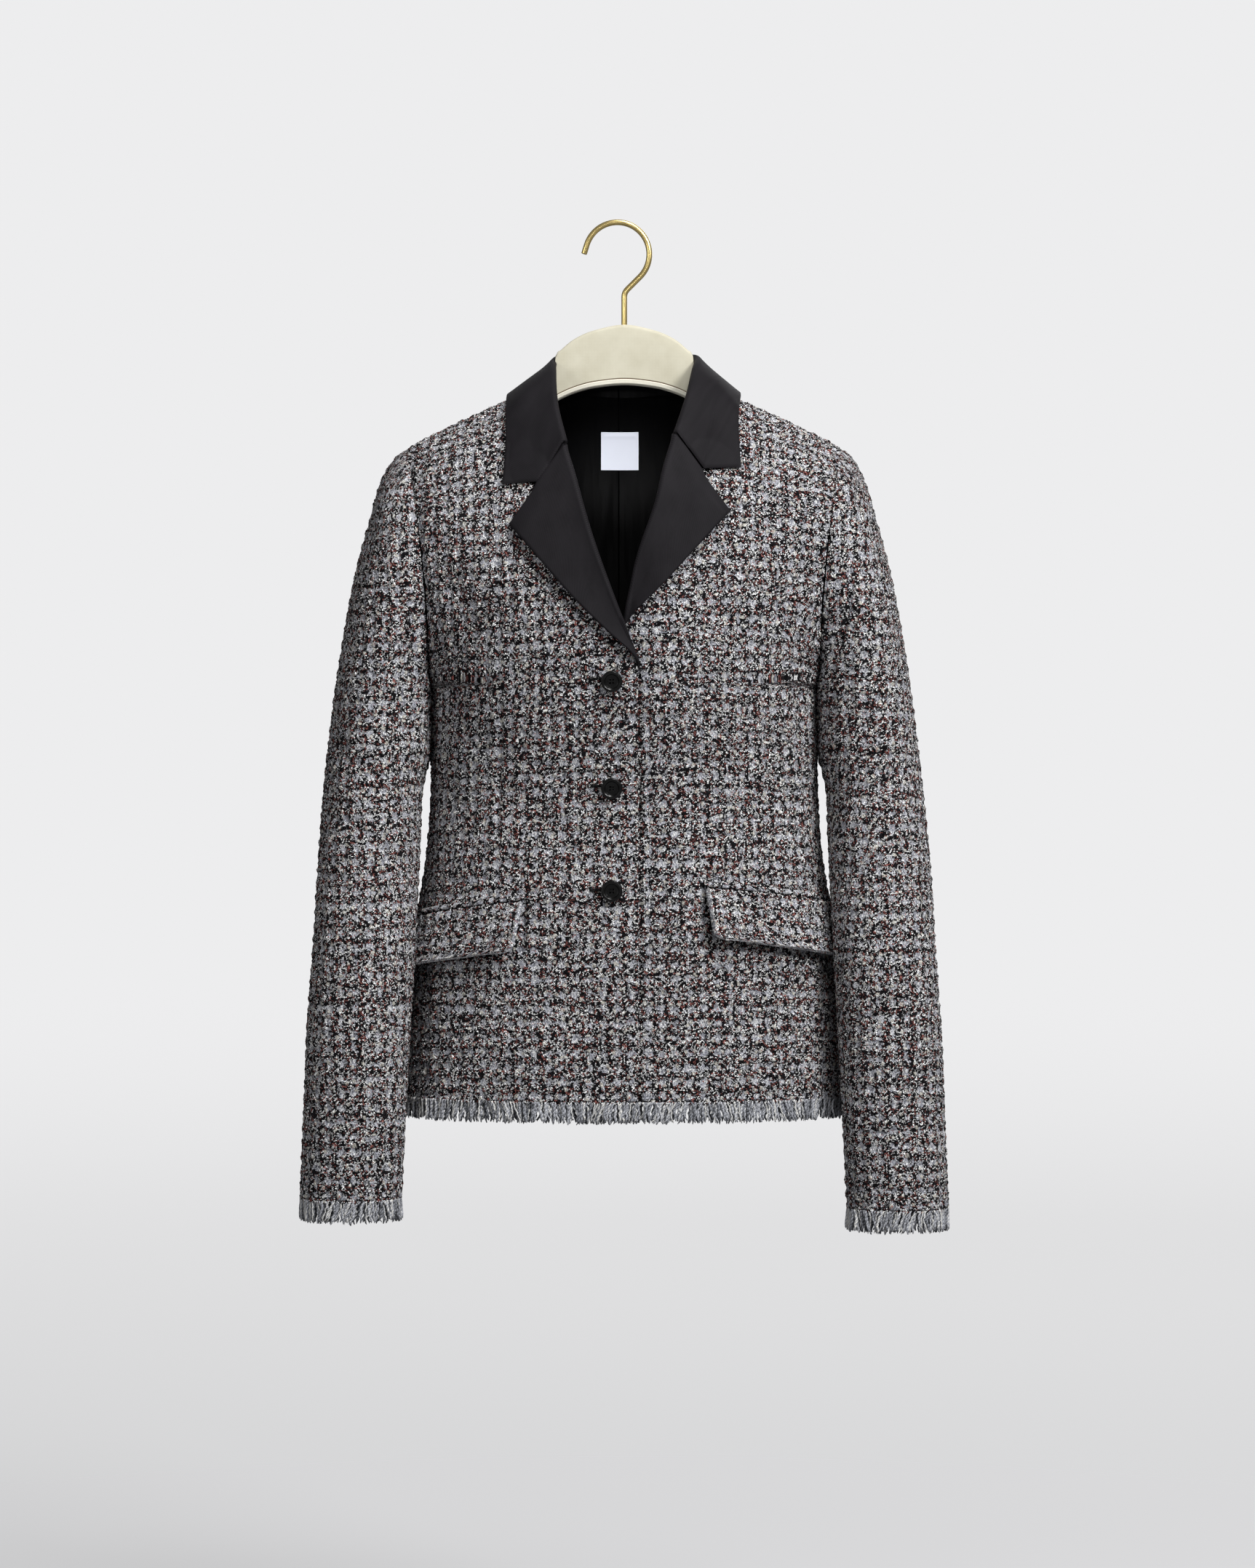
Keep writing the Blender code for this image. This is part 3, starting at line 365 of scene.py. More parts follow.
# The roll line: each front's edge above its break, by its distance towards the front's own side.
RollPoint = namedtuple("RollPoint", "level x")
ROLL = {
    RIGHT: [
        RollPoint(1.04, -0.0113),
        RollPoint(1.10, -0.0065),
        RollPoint(1.18, 0.0015),
        RollPoint(1.26, 0.0106),
        RollPoint(1.38, 0.0214),
        RollPoint(1.50, 0.0322),
        RollPoint(1.68, 0.0468),
        RollPoint(1.82, 0.0568),
        RollPoint(1.94, 0.0600),
        RollPoint(2.00, 0.0610),
    ],
    LEFT: [
        RollPoint(0.98, -0.0310),
        RollPoint(1.07, -0.0140),
        RollPoint(1.17, -0.0005),
        RollPoint(1.37, 0.0115),
        RollPoint(1.50, 0.0240),
        RollPoint(1.60, 0.0312),
        RollPoint(1.70, 0.0395),
        RollPoint(1.82, 0.0500),
        RollPoint(1.94, 0.0560),
        RollPoint(2.00, 0.0580),
    ],
}
LAPEL_FOLD = 2.6 * MM        # what a lapel's fold takes up beyond the roll line
BACK_NECK_LEVEL = 1.885      # where the back's neck seam crosses the middle

centre_height = curve_through(SECTIONS, "level", "height")
half_width = curve_through(SECTIONS, "level", "half_width")
depth_of = {FRONT: curve_through(SECTIONS, "level", "front_depth"),
            BACK: curve_through(SECTIONS, "level", "back_depth")}
roll_x = {side: curve_through(ROLL[side], "level", "x") for side in (RIGHT, LEFT)}


def blend(low, high, at):
    """Goes smoothly from 0 at low to 1 at high."""
    t = np.clip((at - low) / (high - low), 0, 1)
    return t * t * (3 - 2 * t)


def row_end(face, level):
    """The outer end of a body row, at +X: the side seam, then round the armhole seam."""
    turn = -face * math.pi * (2 - level)
    middle_x, middle_z = (ARMHOLE_TOP[0] + ARMHOLE_FOOT[0]) / 2, (ARMHOLE_TOP[1] + ARMHOLE_FOOT[1]) / 2
    x = middle_x + (ARMHOLE_TOP[0] - ARMHOLE_FOOT[0]) / 2 * np.cos(turn) - ARMHOLE_HOLLOW * np.sin(turn) ** 2
    y = -ARMHOLE_HALF_DEPTH * np.sin(turn)
    z = middle_z + (ARMHOLE_TOP[1] - ARMHOLE_FOOT[1]) / 2 * np.cos(turn)
    side_seam = (half_width(level), 0.0, centre_height(level))
    return tuple(np.where(level <= 1, low, high) for low, high in zip(side_seam, (x, y, z)))


def end_turn(level):
    """How far round a body row has turned at its outer end."""
    return SIDE_SEAM_TURN + (ARMHOLE_TURN - SIDE_SEAM_TURN) * blend(1.0, 1.3, level)


def turn_at(face, level, x):
    """How far round a body row has turned at a distance from the middle."""
    return np.arcsin(np.clip(x / row_end(face, level)[0] * np.sin(end_turn(level)), -1, 1))


def body_points(side, face, level, turn):
    """Points of the body's shell, on rows, so far round from the middle."""
    end_x, end_y, end_z = row_end(face, level)
    last = end_turn(level)
    x = end_x * np.sin(turn) / np.sin(last)
    share = (np.cos(turn) - np.cos(last)) / (1 - np.cos(last))
    y = end_y + (face * depth_of[face](level) - end_y) * share
    tilt = np.hypot(x / end_x, ROW_TILT_ROUND) - ROW_TILT_ROUND
    tilt = tilt / (math.hypot(1.0, ROW_TILT_ROUND) - ROW_TILT_ROUND)
    z = centre_height(level) + (end_z - centre_height(level)) * tilt
    if side == LEFT and face == FRONT:
        y = y + UNDERLAP_DROP * (1 - blend(4 * MM, 34 * MM, x)) * (1 - blend(1.3, 1.5, level))
    return np.stack([x * side, y, z], axis=-1)


def row_start(side, face, level):
    """Where a body row starts: the front edge or roll line, the centre back or the neck."""
    if face == FRONT:
        return roll_x[side](level) + LAPEL_FOLD * blend(1.2, 1.45, level)
    depth = np.clip(depth_of[BACK](level) / depth_of[BACK](BACK_NECK_LEVEL), 0, 1)
    return np.where(level <= BACK_NECK_LEVEL, 0.0, ROLL[side][-1].x * np.sqrt(1 - depth ** 2))


GROUP = 3                    # a cloth piece's inner side has one step for so many of its outer side


def even_steps(length, step):
    """How many steps of about that size fit in a length, in whole groups."""
    return max(GROUP, GROUP * round(length / step / GROUP))


def run_along(steps, axis=0):
    """How far each point is from the first, from the steps between them."""
    return np.insert(np.cumsum(steps, axis=axis), 0, 0, axis=axis)


def spaced_evenly(values, points, step):
    """The values, resampled so that the points that go with them are about a step apart."""
    walked = run_along(np.linalg.norm(np.diff(points, axis=0), axis=-1))
    return np.interp(np.linspace(0, walked[-1], even_steps(walked[-1], step) + 1), walked, values)


def unit(vectors):
    """The vectors, each made one long."""
    return vectors / np.maximum(np.linalg.norm(vectors, axis=-1, keepdims=True), 1e-12)


def normals_of(points, outside_of):
    """Unit normals of a grid of points, away from points inside it."""
    normals = unit(np.cross(np.gradient(points, axis=0), np.gradient(points, axis=1)))
    return normals if ((points - outside_of) * normals).sum() > 0 else -normals


def lengths_of(points):
    """How far each point of a grid is from its row's first point and from its column's."""
    across, up = (run_along(np.linalg.norm(np.diff(points, axis=k), axis=-1), k) for k in (1, 0))
    return across, up


def on_the_grain(points, normals, column, face=0):
    """Where each point lies on the flat cloth, whose warp hangs straight down in each piece, and
    runs straight back over the shoulder of a front or back."""
    flatness = np.abs(normals[..., 2])
    weft = unit(np.cross(np.stack([0 * flatness, -face * flatness, 1 + 0 * flatness], axis=-1), normals))
    places = []
    for thread in (weft, np.cross(normals, weft)):
        across = run_along((np.diff(points, axis=1) * (thread[:, 1:] + thread[:, :-1]) / 2).sum(axis=-1), 1)
        up = run_along((np.diff(points, axis=0) * (thread[1:] + thread[:-1]) / 2).sum(axis=-1)[:, column])
        places.append(across - across[:, column][:, None] + up[:, None])
    return places


def chance(a, b, seed):
    """An even-looking number from 0 to 1 for each pair of whole numbers."""
    value = np.sin(a * 127.1 + b * 311.7 + seed * 74.7) * 43758.5453
    return value - np.floor(value)


def pebbles(u, v, size, seed):
    """The height of loops of yarn packed side by side, about so long: 1 on top, below 0 between."""
    nearest = np.full(np.shape(u), 9.0)
    cell_u, cell_v = np.floor(u / size), np.floor(v / size)
    for du in (-1, 0, 1):
        for dv in (-1, 0, 1):
            a, b = cell_u + du, cell_v + dv
            off_u, off_v = u / size - a - chance(a, b, seed), v / size - b - chance(b, a, seed + 1)
            nearest = np.minimum(nearest, np.hypot(off_u, off_v))
    return 1 - 1.6 * nearest


WARP_REPEAT, WEFT_REPEAT = 11.3 * MM, 11.9 * MM     # from one dark clump to the next
TWEED_RELIEF = 1.5 * MM
BIG_LOOP, SMALL_LOOP = 3.6 * MM, 2.3 * MM


def tweed_relief(u, v, seed):
    """How far the tweed's loops and clumps stand out of the cloth."""
    loops = 0.8 * pebbles(u, v, BIG_LOOP, seed) + 0.3 * pebbles(u, v, SMALL_LOOP, seed + 5)
    bands = np.cos(2 * math.pi * u / WARP_REPEAT) + np.cos(2 * math.pi * v / WEFT_REPEAT)
    return TWEED_RELIEF * (loops - 0.35 + 0.24 * bands)


Crease = namedtuple("Crease", "x z to_x to_z width depth")


def creased(x, z, creases):
    """How far soft troughs and ridges, laid as lines in the front view, move a surface out."""
    out = np.zeros(np.shape(x))
    for c in creases:
        run_x, run_z = c.to_x - c.x, c.to_z - c.z
        length = math.hypot(run_x, run_z)
        along = ((x - c.x) * run_x + (z - c.z) * run_z) / length ** 2
        across = ((x - c.x) * run_z - (z - c.z) * run_x) / length
        fade = np.exp(-(np.clip(np.abs(along - 0.5) - 0.28, 0, None) / 0.16) ** 2)
        out += c.depth * np.exp(-(across / c.width) ** 2) * fade
    return out


def cloth_piece(name, points, normals, over, under, uv, materials, coarse=GROUP):
    """A closed piece of cloth on a grid of points: a fine outer side, so far over the grid, and a
    coarser inner side, so far under it. Its inner side takes the second material."""
    rows, columns = points.shape[:2]
    outer = points + normals * np.broadcast_to(over, points.shape[:2])[..., None]
    inner = (points - normals * np.broadcast_to(under, points.shape[:2])[..., None])[::coarse, ::coarse]
    inner_rows, inner_columns = inner.shape[:2]
    fine = np.arange(rows * columns).reshape(rows, columns)
    rough = np.arange(inner_rows * inner_columns).reshape(inner_rows, inner_columns) + rows * columns

    def quads(index, turned):
        around = [index[:-1, :-1], index[:-1, 1:], index[1:, 1:], index[1:, :-1]]
        return np.stack(around[::-1] if turned else around, axis=-1).reshape(-1, 4).tolist()

    middle = (rows // 2, columns // 2)
    face_normal = np.cross(outer[middle[0], middle[1] + 1] - outer[middle],
                           outer[middle[0] + 1, middle[1]] - outer[middle])
    turned = face_normal @ normals[middle] < 0
    faces = quads(fine, turned) + quads(rough, not turned)
    finish = [0] * ((rows - 1) * (columns - 1)) + [1] * ((inner_rows - 1) * (inner_columns - 1))
    edges = [(fine[0], rough[0]), (fine[:, -1], rough[:, -1]),
             (fine[-1, ::-1], rough[-1, ::-1]), (fine[::-1, 0], rough[::-1, 0])]
    for edge, inner_edge in edges:
        for k in range(len(inner_edge) - 1):
            step = edge[k * coarse:(k + 1) * coarse + 1]
            loop = [*reversed(step), inner_edge[k], inner_edge[k + 1]]
            faces.append([int(i) for i in (reversed(loop) if turned else loop)])
            finish.append(0)
    piece = new_piece(name, np.concatenate([outer.reshape(-1, 3), inner.reshape(-1, 3)]).tolist(),
                      faces, materials, finish, sharp=60)
    corners = np.zeros(len(piece.data.loops), int)
    piece.data.loops.foreach_get("vertex_index", corners)
    places = np.concatenate([uv.reshape(-1, 2), uv[::coarse, ::coarse].reshape(-1, 2)])
    piece.data.uv_layers.new(name="cut").data.foreach_set("uv", places[corners].astype(np.float32).ravel())
    return piece


def declare(points):
    """Measures a piece's grid of points across and up; the lengths are not used."""
    across, up = lengths_of(points)


def mixed(tree, share, first, second):
    """Adds a mix of two colours, by the share of the second; returns its colour."""
    return add(tree, "Mix", {"Factor": share, "A": first, "B": second}, data_type="RGBA").outputs[2]


# Looped wool tweed: blue-grey and white warp yarns, black looped yarn that comes up in clumps in
# rows 12 mm apart, thin curly tinsel in white and red-brown, and cream slubs; the white tinsel is
# painted glint. Dry and matt, with a slight nap; only the tinsel shines. A single yarn is about 0.9 mm thick.
tweed, tree, shader = new_material("looped_wool_tweed", Sheen_Weight=0.02, Sheen_Roughness=0.6,
                                   Specular_IOR_Level=0.03)
YARN = 0.85 * MM
SLUB_APART = 12 * MM
BLACK_FROM, BLACK_TO = 0.760, 0.790
STITCHED_TO = 4.4 * MM       # the stitch row's upper edge, above the fringe
RIM_HIGHLIGHT_TO = 3.2 * MM        # how far in from a flap's edge its painted highlight reaches
FLAP_PLACE = 1.0             # where on the flat cloth the flaps' lower near corners lie
cut = add(tree, "UVMap", uv_map="cut").outputs["UV"]
cloth = cut                  # the yarns sway in their rows, and are ruffled
for size, reach, detail in ((14 * MM, 7 * MM, 2.0), (1.3 * MM, 2.2 * MM, 1.0)):
    noise = add(tree, "TexNoise", {"Vector": cut, "Scale": 1 / size, "Detail": detail})
    push = add(tree, "VectorMath", {0: noise.outputs["Color"], 1: (0.5, 0.5, 0.5)}, operation="SUBTRACT")
    cloth = add(tree, "VectorMath", {0: push.outputs[0], 1: (reach, reach, 0), 2: cloth},
                operation="MULTIPLY_ADD").outputs[0]

# how black the cloth is at each place: the two repeats, uneven rows, and blots
apart = add(tree, "SeparateXYZ", {0: cloth})
warp, weft = (maths(tree, "COSINE", maths(tree, "MULTIPLY", apart.outputs[k], 2 * math.pi / repeat))
              for k, repeat in enumerate((WARP_REPEAT, WEFT_REPEAT)))
blot = add(tree, "TexNoise", {"Vector": cloth, "Scale": 1 / (3.0 * MM), "Detail": 1.5, "Roughness": 0.6})
rows = add(tree, "VectorMath", {0: cloth, 1: (1 / (34 * MM), 1 / (8 * MM), 1)}, operation="MULTIPLY")
rows = add(tree, "TexNoise", {"Vector": rows.outputs[0], "Scale": 1.0, "Detail": 2.0})
clump = maths(tree, "MULTIPLY_ADD", maths(tree, "ADD", warp, weft), 0.15, blot.outputs["Fac"])
clump = maths(tree, "MULTIPLY_ADD", rows.outputs["Fac"], 0.68, clump)

# the looped yarns, side by side
loop_place = add(tree, "VectorMath", {0: cloth, 1: (1 / YARN, 0.7 / YARN, 1)}, operation="MULTIPLY")
loops = add(tree, "TexVoronoi", {"Vector": loop_place.outputs[0], "Scale": 1.0}, voronoi_dimensions="2D")
picked = add(tree, "SeparateColor", {0: loops.outputs["Color"]})
clump = maths(tree, "MULTIPLY_ADD", picked.outputs[0], 0.16, clump)
blackness = ranged(tree, clump, BLACK_FROM, BLACK_TO)

# the row of black stitches that holds a frayed edge; along a flap's edges the black is taken out, a painted
# highlight on the rolled rims
from_edge = add(tree, "SeparateXYZ", {0: cut})
stitched = ranged(tree, from_edge.outputs[1], STITCHED_TO - 2 * MM, STITCHED_TO, 0.9, 0.0)
from_flap_edge = maths(tree, "MINIMUM", from_edge.outputs[0], from_edge.outputs[1])
on_flap = maths(tree, "GREATER_THAN", from_flap_edge, FLAP_PLACE - 0.1)
painted_rim_highlight = ranged(tree, from_flap_edge, FLAP_PLACE + RIM_HIGHLIGHT_TO - 2 * MM, FLAP_PLACE + RIM_HIGHLIGHT_TO, 0.9, 0.0)
blackness = maths(tree, "ADD", blackness, stitched, clamp=True)
blackness = maths(tree, "SUBTRACT", blackness, maths(tree, "MULTIPLY", painted_rim_highlight, on_flap), clamp=True)
grey_yarn = colours(tree, picked.outputs[1], (0.0, "#8a8c96"), (0.55, "#c4c6d0"), (1.0, "#ffffff"))
black_yarn = colours(tree, picked.outputs[1], (0.0, "#050505"), (1.0, "#242226"))
yarn = mixed(tree, blackness, grey_yarn, black_yarn)
slub_place = add(tree, "TexVoronoi", {"Vector": cloth, "Scale": 1 / SLUB_APART}, voronoi_dimensions="2D")
is_slub = ranged(tree, slub_place.outputs["Distance"], 0.15, 0.09)
yarn = mixed(tree, is_slub, yarn, linear("#d3cfc6"))
# painted shade: the colour darkens between the loops, where shade falls, and lightens a little on their tops
painted_gap_shade = ranged(tree, loops.outputs["Distance"], 0.2, 0.75, 1.05, 0.25)
yarn = add(tree, "VectorMath", {0: yarn, "Scale": painted_gap_shade}, operation="SCALE").outputs[0]

# the tinsel: short curly lines, more of them on the black loops. The red-brown is its own colour; the white
# is painted glint standing in for the metal's shine, with the tinsel only slightly metallic
curl = add(tree, "TexNoise", {"Vector": cut, "Scale": 1 / (1.4 * MM), "Detail": 1.0})
curl = maths(tree, "ABSOLUTE", maths(tree, "SUBTRACT", curl.outputs["Fac"], 0.5))
curl = maths(tree, "LESS_THAN", curl, 0.05)
bits = add(tree, "TexVoronoi", {"Vector": cut, "Scale": 1 / (1.3 * MM)}, voronoi_dimensions="2D")
bit_picked = add(tree, "SeparateColor", {0: bits.outputs["Color"]})
shown = maths(tree, "GREATER_THAN", bit_picked.outputs[0], ranged(tree, clump, 0.74, 0.97, 0.85, 0.45))
tinsel_and_painted_glint = maths(tree, "MULTIPLY", shown, curl)
is_red = maths(tree, "LESS_THAN", bit_picked.outputs[1], 0.30)
colour = mixed(tree, tinsel_and_painted_glint, yarn, mixed(tree, is_red, linear("#ffffff"), linear("#9e625b")))

tree.links.new(colour, shader.inputs["Base Color"])
tree.links.new(maths(tree, "MULTIPLY", tinsel_and_painted_glint, 0.1), shader.inputs["Metallic"])
tree.links.new(ranged(tree, tinsel_and_painted_glint, 0, 1, 0.92, 0.45), shader.inputs["Roughness"])
dome = maths(tree, "MULTIPLY_ADD", loops.outputs["Distance"], -1.0, is_slub)
dome = maths(tree, "MULTIPLY_ADD", clump, 1.5, dome)
bumped(tree, shader, dome, 0.8, 0.9 * MM)

# Viscose lining, woven as a fine satin: black, smooth, with broad soft reflections. The seam
# allowances of the centre back, pressed to one side, show through as a low step.
lining, tree, shader = new_material("black_viscose_lining", Base_Color="#050506", Roughness=0.45,
                                    Specular_IOR_Level=0.05)
place = add(tree, "TexCoord").outputs["Object"]
folds = add(tree, "VectorMath", {0: place, 1: (1 / (16 * MM), 1, 1 / (90 * MM))}, operation="MULTIPLY")
folds = add(tree, "TexNoise", {"Vector": folds.outputs[0], "Scale": 1.0, "Detail": 2.0})
from_seam = add(tree, "SeparateXYZ", {0: place}).outputs[0]
seam = ranged(tree, from_seam, -5.6 * MM, -4.0 * MM, 0.0, 0.5, interpolation_type="SMOOTHSTEP")
bumped(tree, shader, maths(tree, "ADD", folds.outputs["Fac"], seam), 0.7, 3 * MM)

CLOTH = 2.0 * MM
FRONT_STEP, BACK_STEP = 1.7 * MM, 2.1 * MM     # between points of the panels' outer side
SEAM_DIP, SEAM_WIDTH = 1.4 * MM, 3.4 * MM
EDGE_ROLL, EDGE_ROLL_WIDTH = 1.3 * MM, 1.8 * MM      # how far, and how widely, a turned edge rolls back
BODY_CREASES = {
    (RIGHT, FRONT): [
        Crease(-0.0994, -0.385, -0.1050, -0.516, 1.3 * MM, -1.7 * MM),    # waist dart
        Crease(-0.148, -0.290, -0.120, -0.350, 11 * MM, -2.2 * MM),       # under the armhole
        Crease(-0.135, -0.420, -0.040, -0.475, 13 * MM, -1.3 * MM),       # drag to the middle button
        Crease(-0.118, -0.455, -0.030, -0.535, 12 * MM, -1.5 * MM),       # and to the lowest one
        Crease(-0.100, -0.360, -0.028, -0.392, 12 * MM, -1.1 * MM),
        Crease(-0.030, -0.600, -0.022, -0.720, 14 * MM, -1.4 * MM),
        Crease(-0.070, -0.640, -0.085, -0.725, 16 * MM, 1.6 * MM),
        Crease(-0.120, -0.215, -0.100, -0.285, 14 * MM, -1.2 * MM),
        Crease(-0.0808, -0.560, -0.0832, -0.606, 2.2 * MM, -2.0 * MM),    # beside the flap
    ],
    (LEFT, FRONT): [
        Crease(0.0996, -0.390, 0.0998, -0.490, 1.3 * MM, -1.7 * MM),      # waist dart
        Crease(0.150, -0.285, 0.122, -0.345, 11 * MM, -2.2 * MM),
        Crease(0.125, -0.430, 0.045, -0.465, 12 * MM, -1.2 * MM),
        Crease(0.024, -0.500, 0.030, -0.600, 13 * MM, -1.6 * MM),
        Crease(0.022, -0.580, 0.030, -0.740, 17 * MM, -3.6 * MM),         # beside the closing edge
        Crease(0.070, -0.630, 0.090, -0.722, 16 * MM, 1.4 * MM),
        Crease(0.120, -0.215, 0.103, -0.280, 14 * MM, -1.2 * MM),
    ],
    (RIGHT, BACK): [
        Crease(-0.095, -0.330, -0.100, -0.560, 1.3 * MM, -1.5 * MM),      # waist dart
        Crease(-0.150, -0.290, -0.105, -0.350, 12 * MM, -2.2 * MM),
        Crease(-0.140, -0.470, -0.030, -0.500, 12 * MM, -1.6 * MM),
        Crease(-0.120, -0.500, -0.050, -0.530, 10 * MM, 1.3 * MM),
        Crease(-0.060, -0.620, -0.070, -0.725, 17 * MM, -1.7 * MM),
    ],
    (LEFT, BACK): [
        Crease(0.095, -0.330, 0.100, -0.560, 1.3 * MM, -1.5 * MM),
        Crease(0.150, -0.285, 0.108, -0.345, 12 * MM, -2.2 * MM),
        Crease(0.145, -0.480, 0.045, -0.505, 12 * MM, -1.5 * MM),
        Crease(0.110, -0.510, 0.040, -0.545, 10 * MM, 1.2 * MM),
        Crease(0.080, -0.610, 0.072, -0.725, 17 * MM, -1.6 * MM),
    ],
}


PANEL_MIDDLE, PANEL_WIDTH = 0.080, 0.235        # from the middle, and along a row


def panel_grid(side, face, step, low=0.0):
    """A front's or half back's points, rows an even step apart, each from its inner edge out."""
    trial = np.linspace(low, 2.0, 200)
    spine = body_points(side, face, trial, turn_at(face, trial, np.full(200, PANEL_MIDDLE)))
    levels = spaced_evenly(trial, spine, step)
    start = turn_at(face, levels, row_start(side, face, levels))[:, None]
    share = np.linspace(0, 1, even_steps(PANEL_WIDTH, step) + 1)[None, :]
    level = np.broadcast_to(levels[:, None], (len(levels), share.shape[1]))
    return body_points(side, face, level, start + (end_turn(levels)[:, None] - start) * share)


SideSwell = namedtuple("SideSwell", "z reach out")
SIDE_SWELLS = [SideSwell(-0.395, 0.050, 3.6 * MM),      # under the arm
               SideSwell(-0.535, 0.038, -2.8 * MM)]     # at the waist


def seam_dip(across, up, seams):
    """How far a panel sinks towards the named edges, where it is sewn: start, end, foot, head."""
    away = {"start": across, "end": across[:, -1:] - across, "foot": up, "head": up[-1:] - up}
    nearest = np.min([away[name] for name in seams], axis=0)
    return SEAM_DIP * np.exp(-(nearest / SEAM_WIDTH) ** 2)


# The gorge, where the collar joins the lapels: x and z at its inner end, then at its outer end.
GORGE = {RIGHT: ((0.0440, -0.1840), (0.0730, -0.2200)), LEFT: ((0.0360, -0.1720), (0.0670, -0.2070))}
LAPEL_BED, BED_WIDTH = 3.0 * MM, 6 * MM         # how far, and how widely, the tweed lies back there


def tucked_under(side, points):
    """1 along the gorge seam, where collar and lapel cover the front, and falling off round it."""
    (x, z), (to_x, to_z) = GORGE[side]
    along = ((points[..., 0] * side - x) * (to_x - x) + (points[..., 2] - z) * (to_z - z))
    along = np.clip(along / ((to_x - x) ** 2 + (to_z - z) ** 2), 0, 1)
    away = np.hypot(points[..., 0] * side - x - (to_x - x) * along, points[..., 2] - z - (to_z - z) * along)
    return np.exp(-(away / BED_WIDTH) ** 2) * (points[..., 1] < 0)


BREAK_Z = -0.367             # the lowest point of the lapels' opening
GROOVE, GROOVE_FROM_EDGE, GROOVE_WIDTH = 2.2 * MM, 1.2 * MM, 1.5 * MM      # along the closing edge
SIDE_REACH = 32 * MM         # how far round the side swells reach from the side seams
panel_grids = {}
for side in (RIGHT, LEFT):
    for face, name in ((FRONT, "front"), (BACK, "back")):
        points = panel_grid(side, face, FRONT_STEP if face == FRONT else BACK_STEP)
        normals = normals_of(points, points * (0, 0, 1))
        across, up = lengths_of(points)
        u, v = on_the_grain(points, normals, 0, face)
        over = tweed_relief(u, v, seed=3 + side + 2 * face)
        over *= blend(0, 3 * MM, np.minimum(up, up[-1:] - up))
        over -= seam_dip(across, up, ("end", "head", "start") if face == BACK else ("end", "head"))
        if face == FRONT:
            over -= EDGE_ROLL * np.exp(-(across / EDGE_ROLL_WIDTH) ** 2)
            over -= LAPEL_BED * tucked_under(side, points)
        if (side, face) == (RIGHT, FRONT):
            top_edge = points[:, 0]
        if (side, face) == (LEFT, FRONT):
            beside = points[..., 0] - np.interp(points[..., 2], top_edge[:, 2], top_edge[:, 0])
            below_break = 1 - blend(BREAK_Z - 5 * MM, BREAK_Z + 5 * MM, points[..., 2])
            over -= GROOVE * np.exp(-((beside - GROOVE_FROM_EDGE) / GROOVE_WIDTH) ** 2) * below_break
        sunk = creased(points[..., 0], points[..., 2], BODY_CREASES[side, face])
        from_side = np.exp(-((across[:, -1:] - across) / SIDE_REACH) ** 2)
        for swell in SIDE_SWELLS:
            sunk += swell.out * from_side * np.exp(-((points[..., 2] - swell.z) / swell.reach) ** 2)
        panel = cloth_piece(f"{SIDE_NAME[side]}_{name}_panel", points + normals * sunk[..., None], normals,
                            over, CLOTH, np.stack([u, v], axis=-1), [tweed, lining])
        declare(points)
        fix(panel, "tweed", f"{SIDE_NAME[side]}_{name}")
        panel_grids[side, face] = points, normals


# ------------------------------------------------------------------------------------- the sleeves
# Two-piece sleeves of the same tweed, set in with a little ease at the head and bent forwards at the
# elbow, as they hang. The left one hangs 8 mm lower. Their cuffs are cut raw and frayed.

SleeveRing = namedtuple("SleeveRing", "ring outer_x outer_z inner_x inner_z half_depth centre_y hollow")
SLEEVE_RINGS = [
    SleeveRing(0, *ARMHOLE_TOP, *ARMHOLE_FOOT, ARMHOLE_HALF_DEPTH, 0.000, ARMHOLE_HOLLOW),
    SleeveRing(1, 0.1955, -0.199, 0.1640, -0.396, 0.058, 0.000, 0.0020),   # sleeve head
    SleeveRing(2, 0.2050, -0.216, 0.1650, -0.403, 0.059, 0.000, 0.0),
    SleeveRing(3, 0.2140, -0.248, 0.1655, -0.409, 0.060, -0.001, 0.0),
    SleeveRing(4, 0.2252, -0.290, 0.1660, -0.416, 0.060, -0.002, 0.0),
    SleeveRing(5, 0.2350, -0.342, 0.1665, -0.425, 0.059, -0.004, 0.0),
    SleeveRing(6, 0.2435, -0.400, 0.1675, -0.438, 0.057, -0.008, 0.0),
    SleeveRing(7, 0.2500, -0.462, 0.1690, -0.480, 0.053, -0.017, 0.0),
    SleeveRing(8, 0.2540, -0.530, 0.1706, -0.540, 0.048, -0.032, 0.0),     # elbow
    SleeveRing(9, 0.2568, -0.600, 0.1731, -0.604, 0.044, -0.050, 0.0),
    SleeveRing(10, 0.2611, -0.665, 0.1762, -0.667, 0.041, -0.058, 0.0),
    SleeveRing(11, 0.2639, -0.737, 0.1799, -0.738, 0.038, -0.062, 0.0),
    SleeveRing(12, 0.2668, -0.810, 0.1835, -0.810, 0.036, -0.064, 0.0),    # cuff
]
LEFT_SLEEVE_DROP, DROP_FROM_Z, DROP_OVER = 8 * MM, -0.45, 0.36
UPPER_SLEEVE_TURN = math.radians(112.5)      # the upper sleeve reaches this far each way
ring_value = {name: curve_through(SLEEVE_RINGS, "ring", name) for name in SleeveRing._fields[1:]}

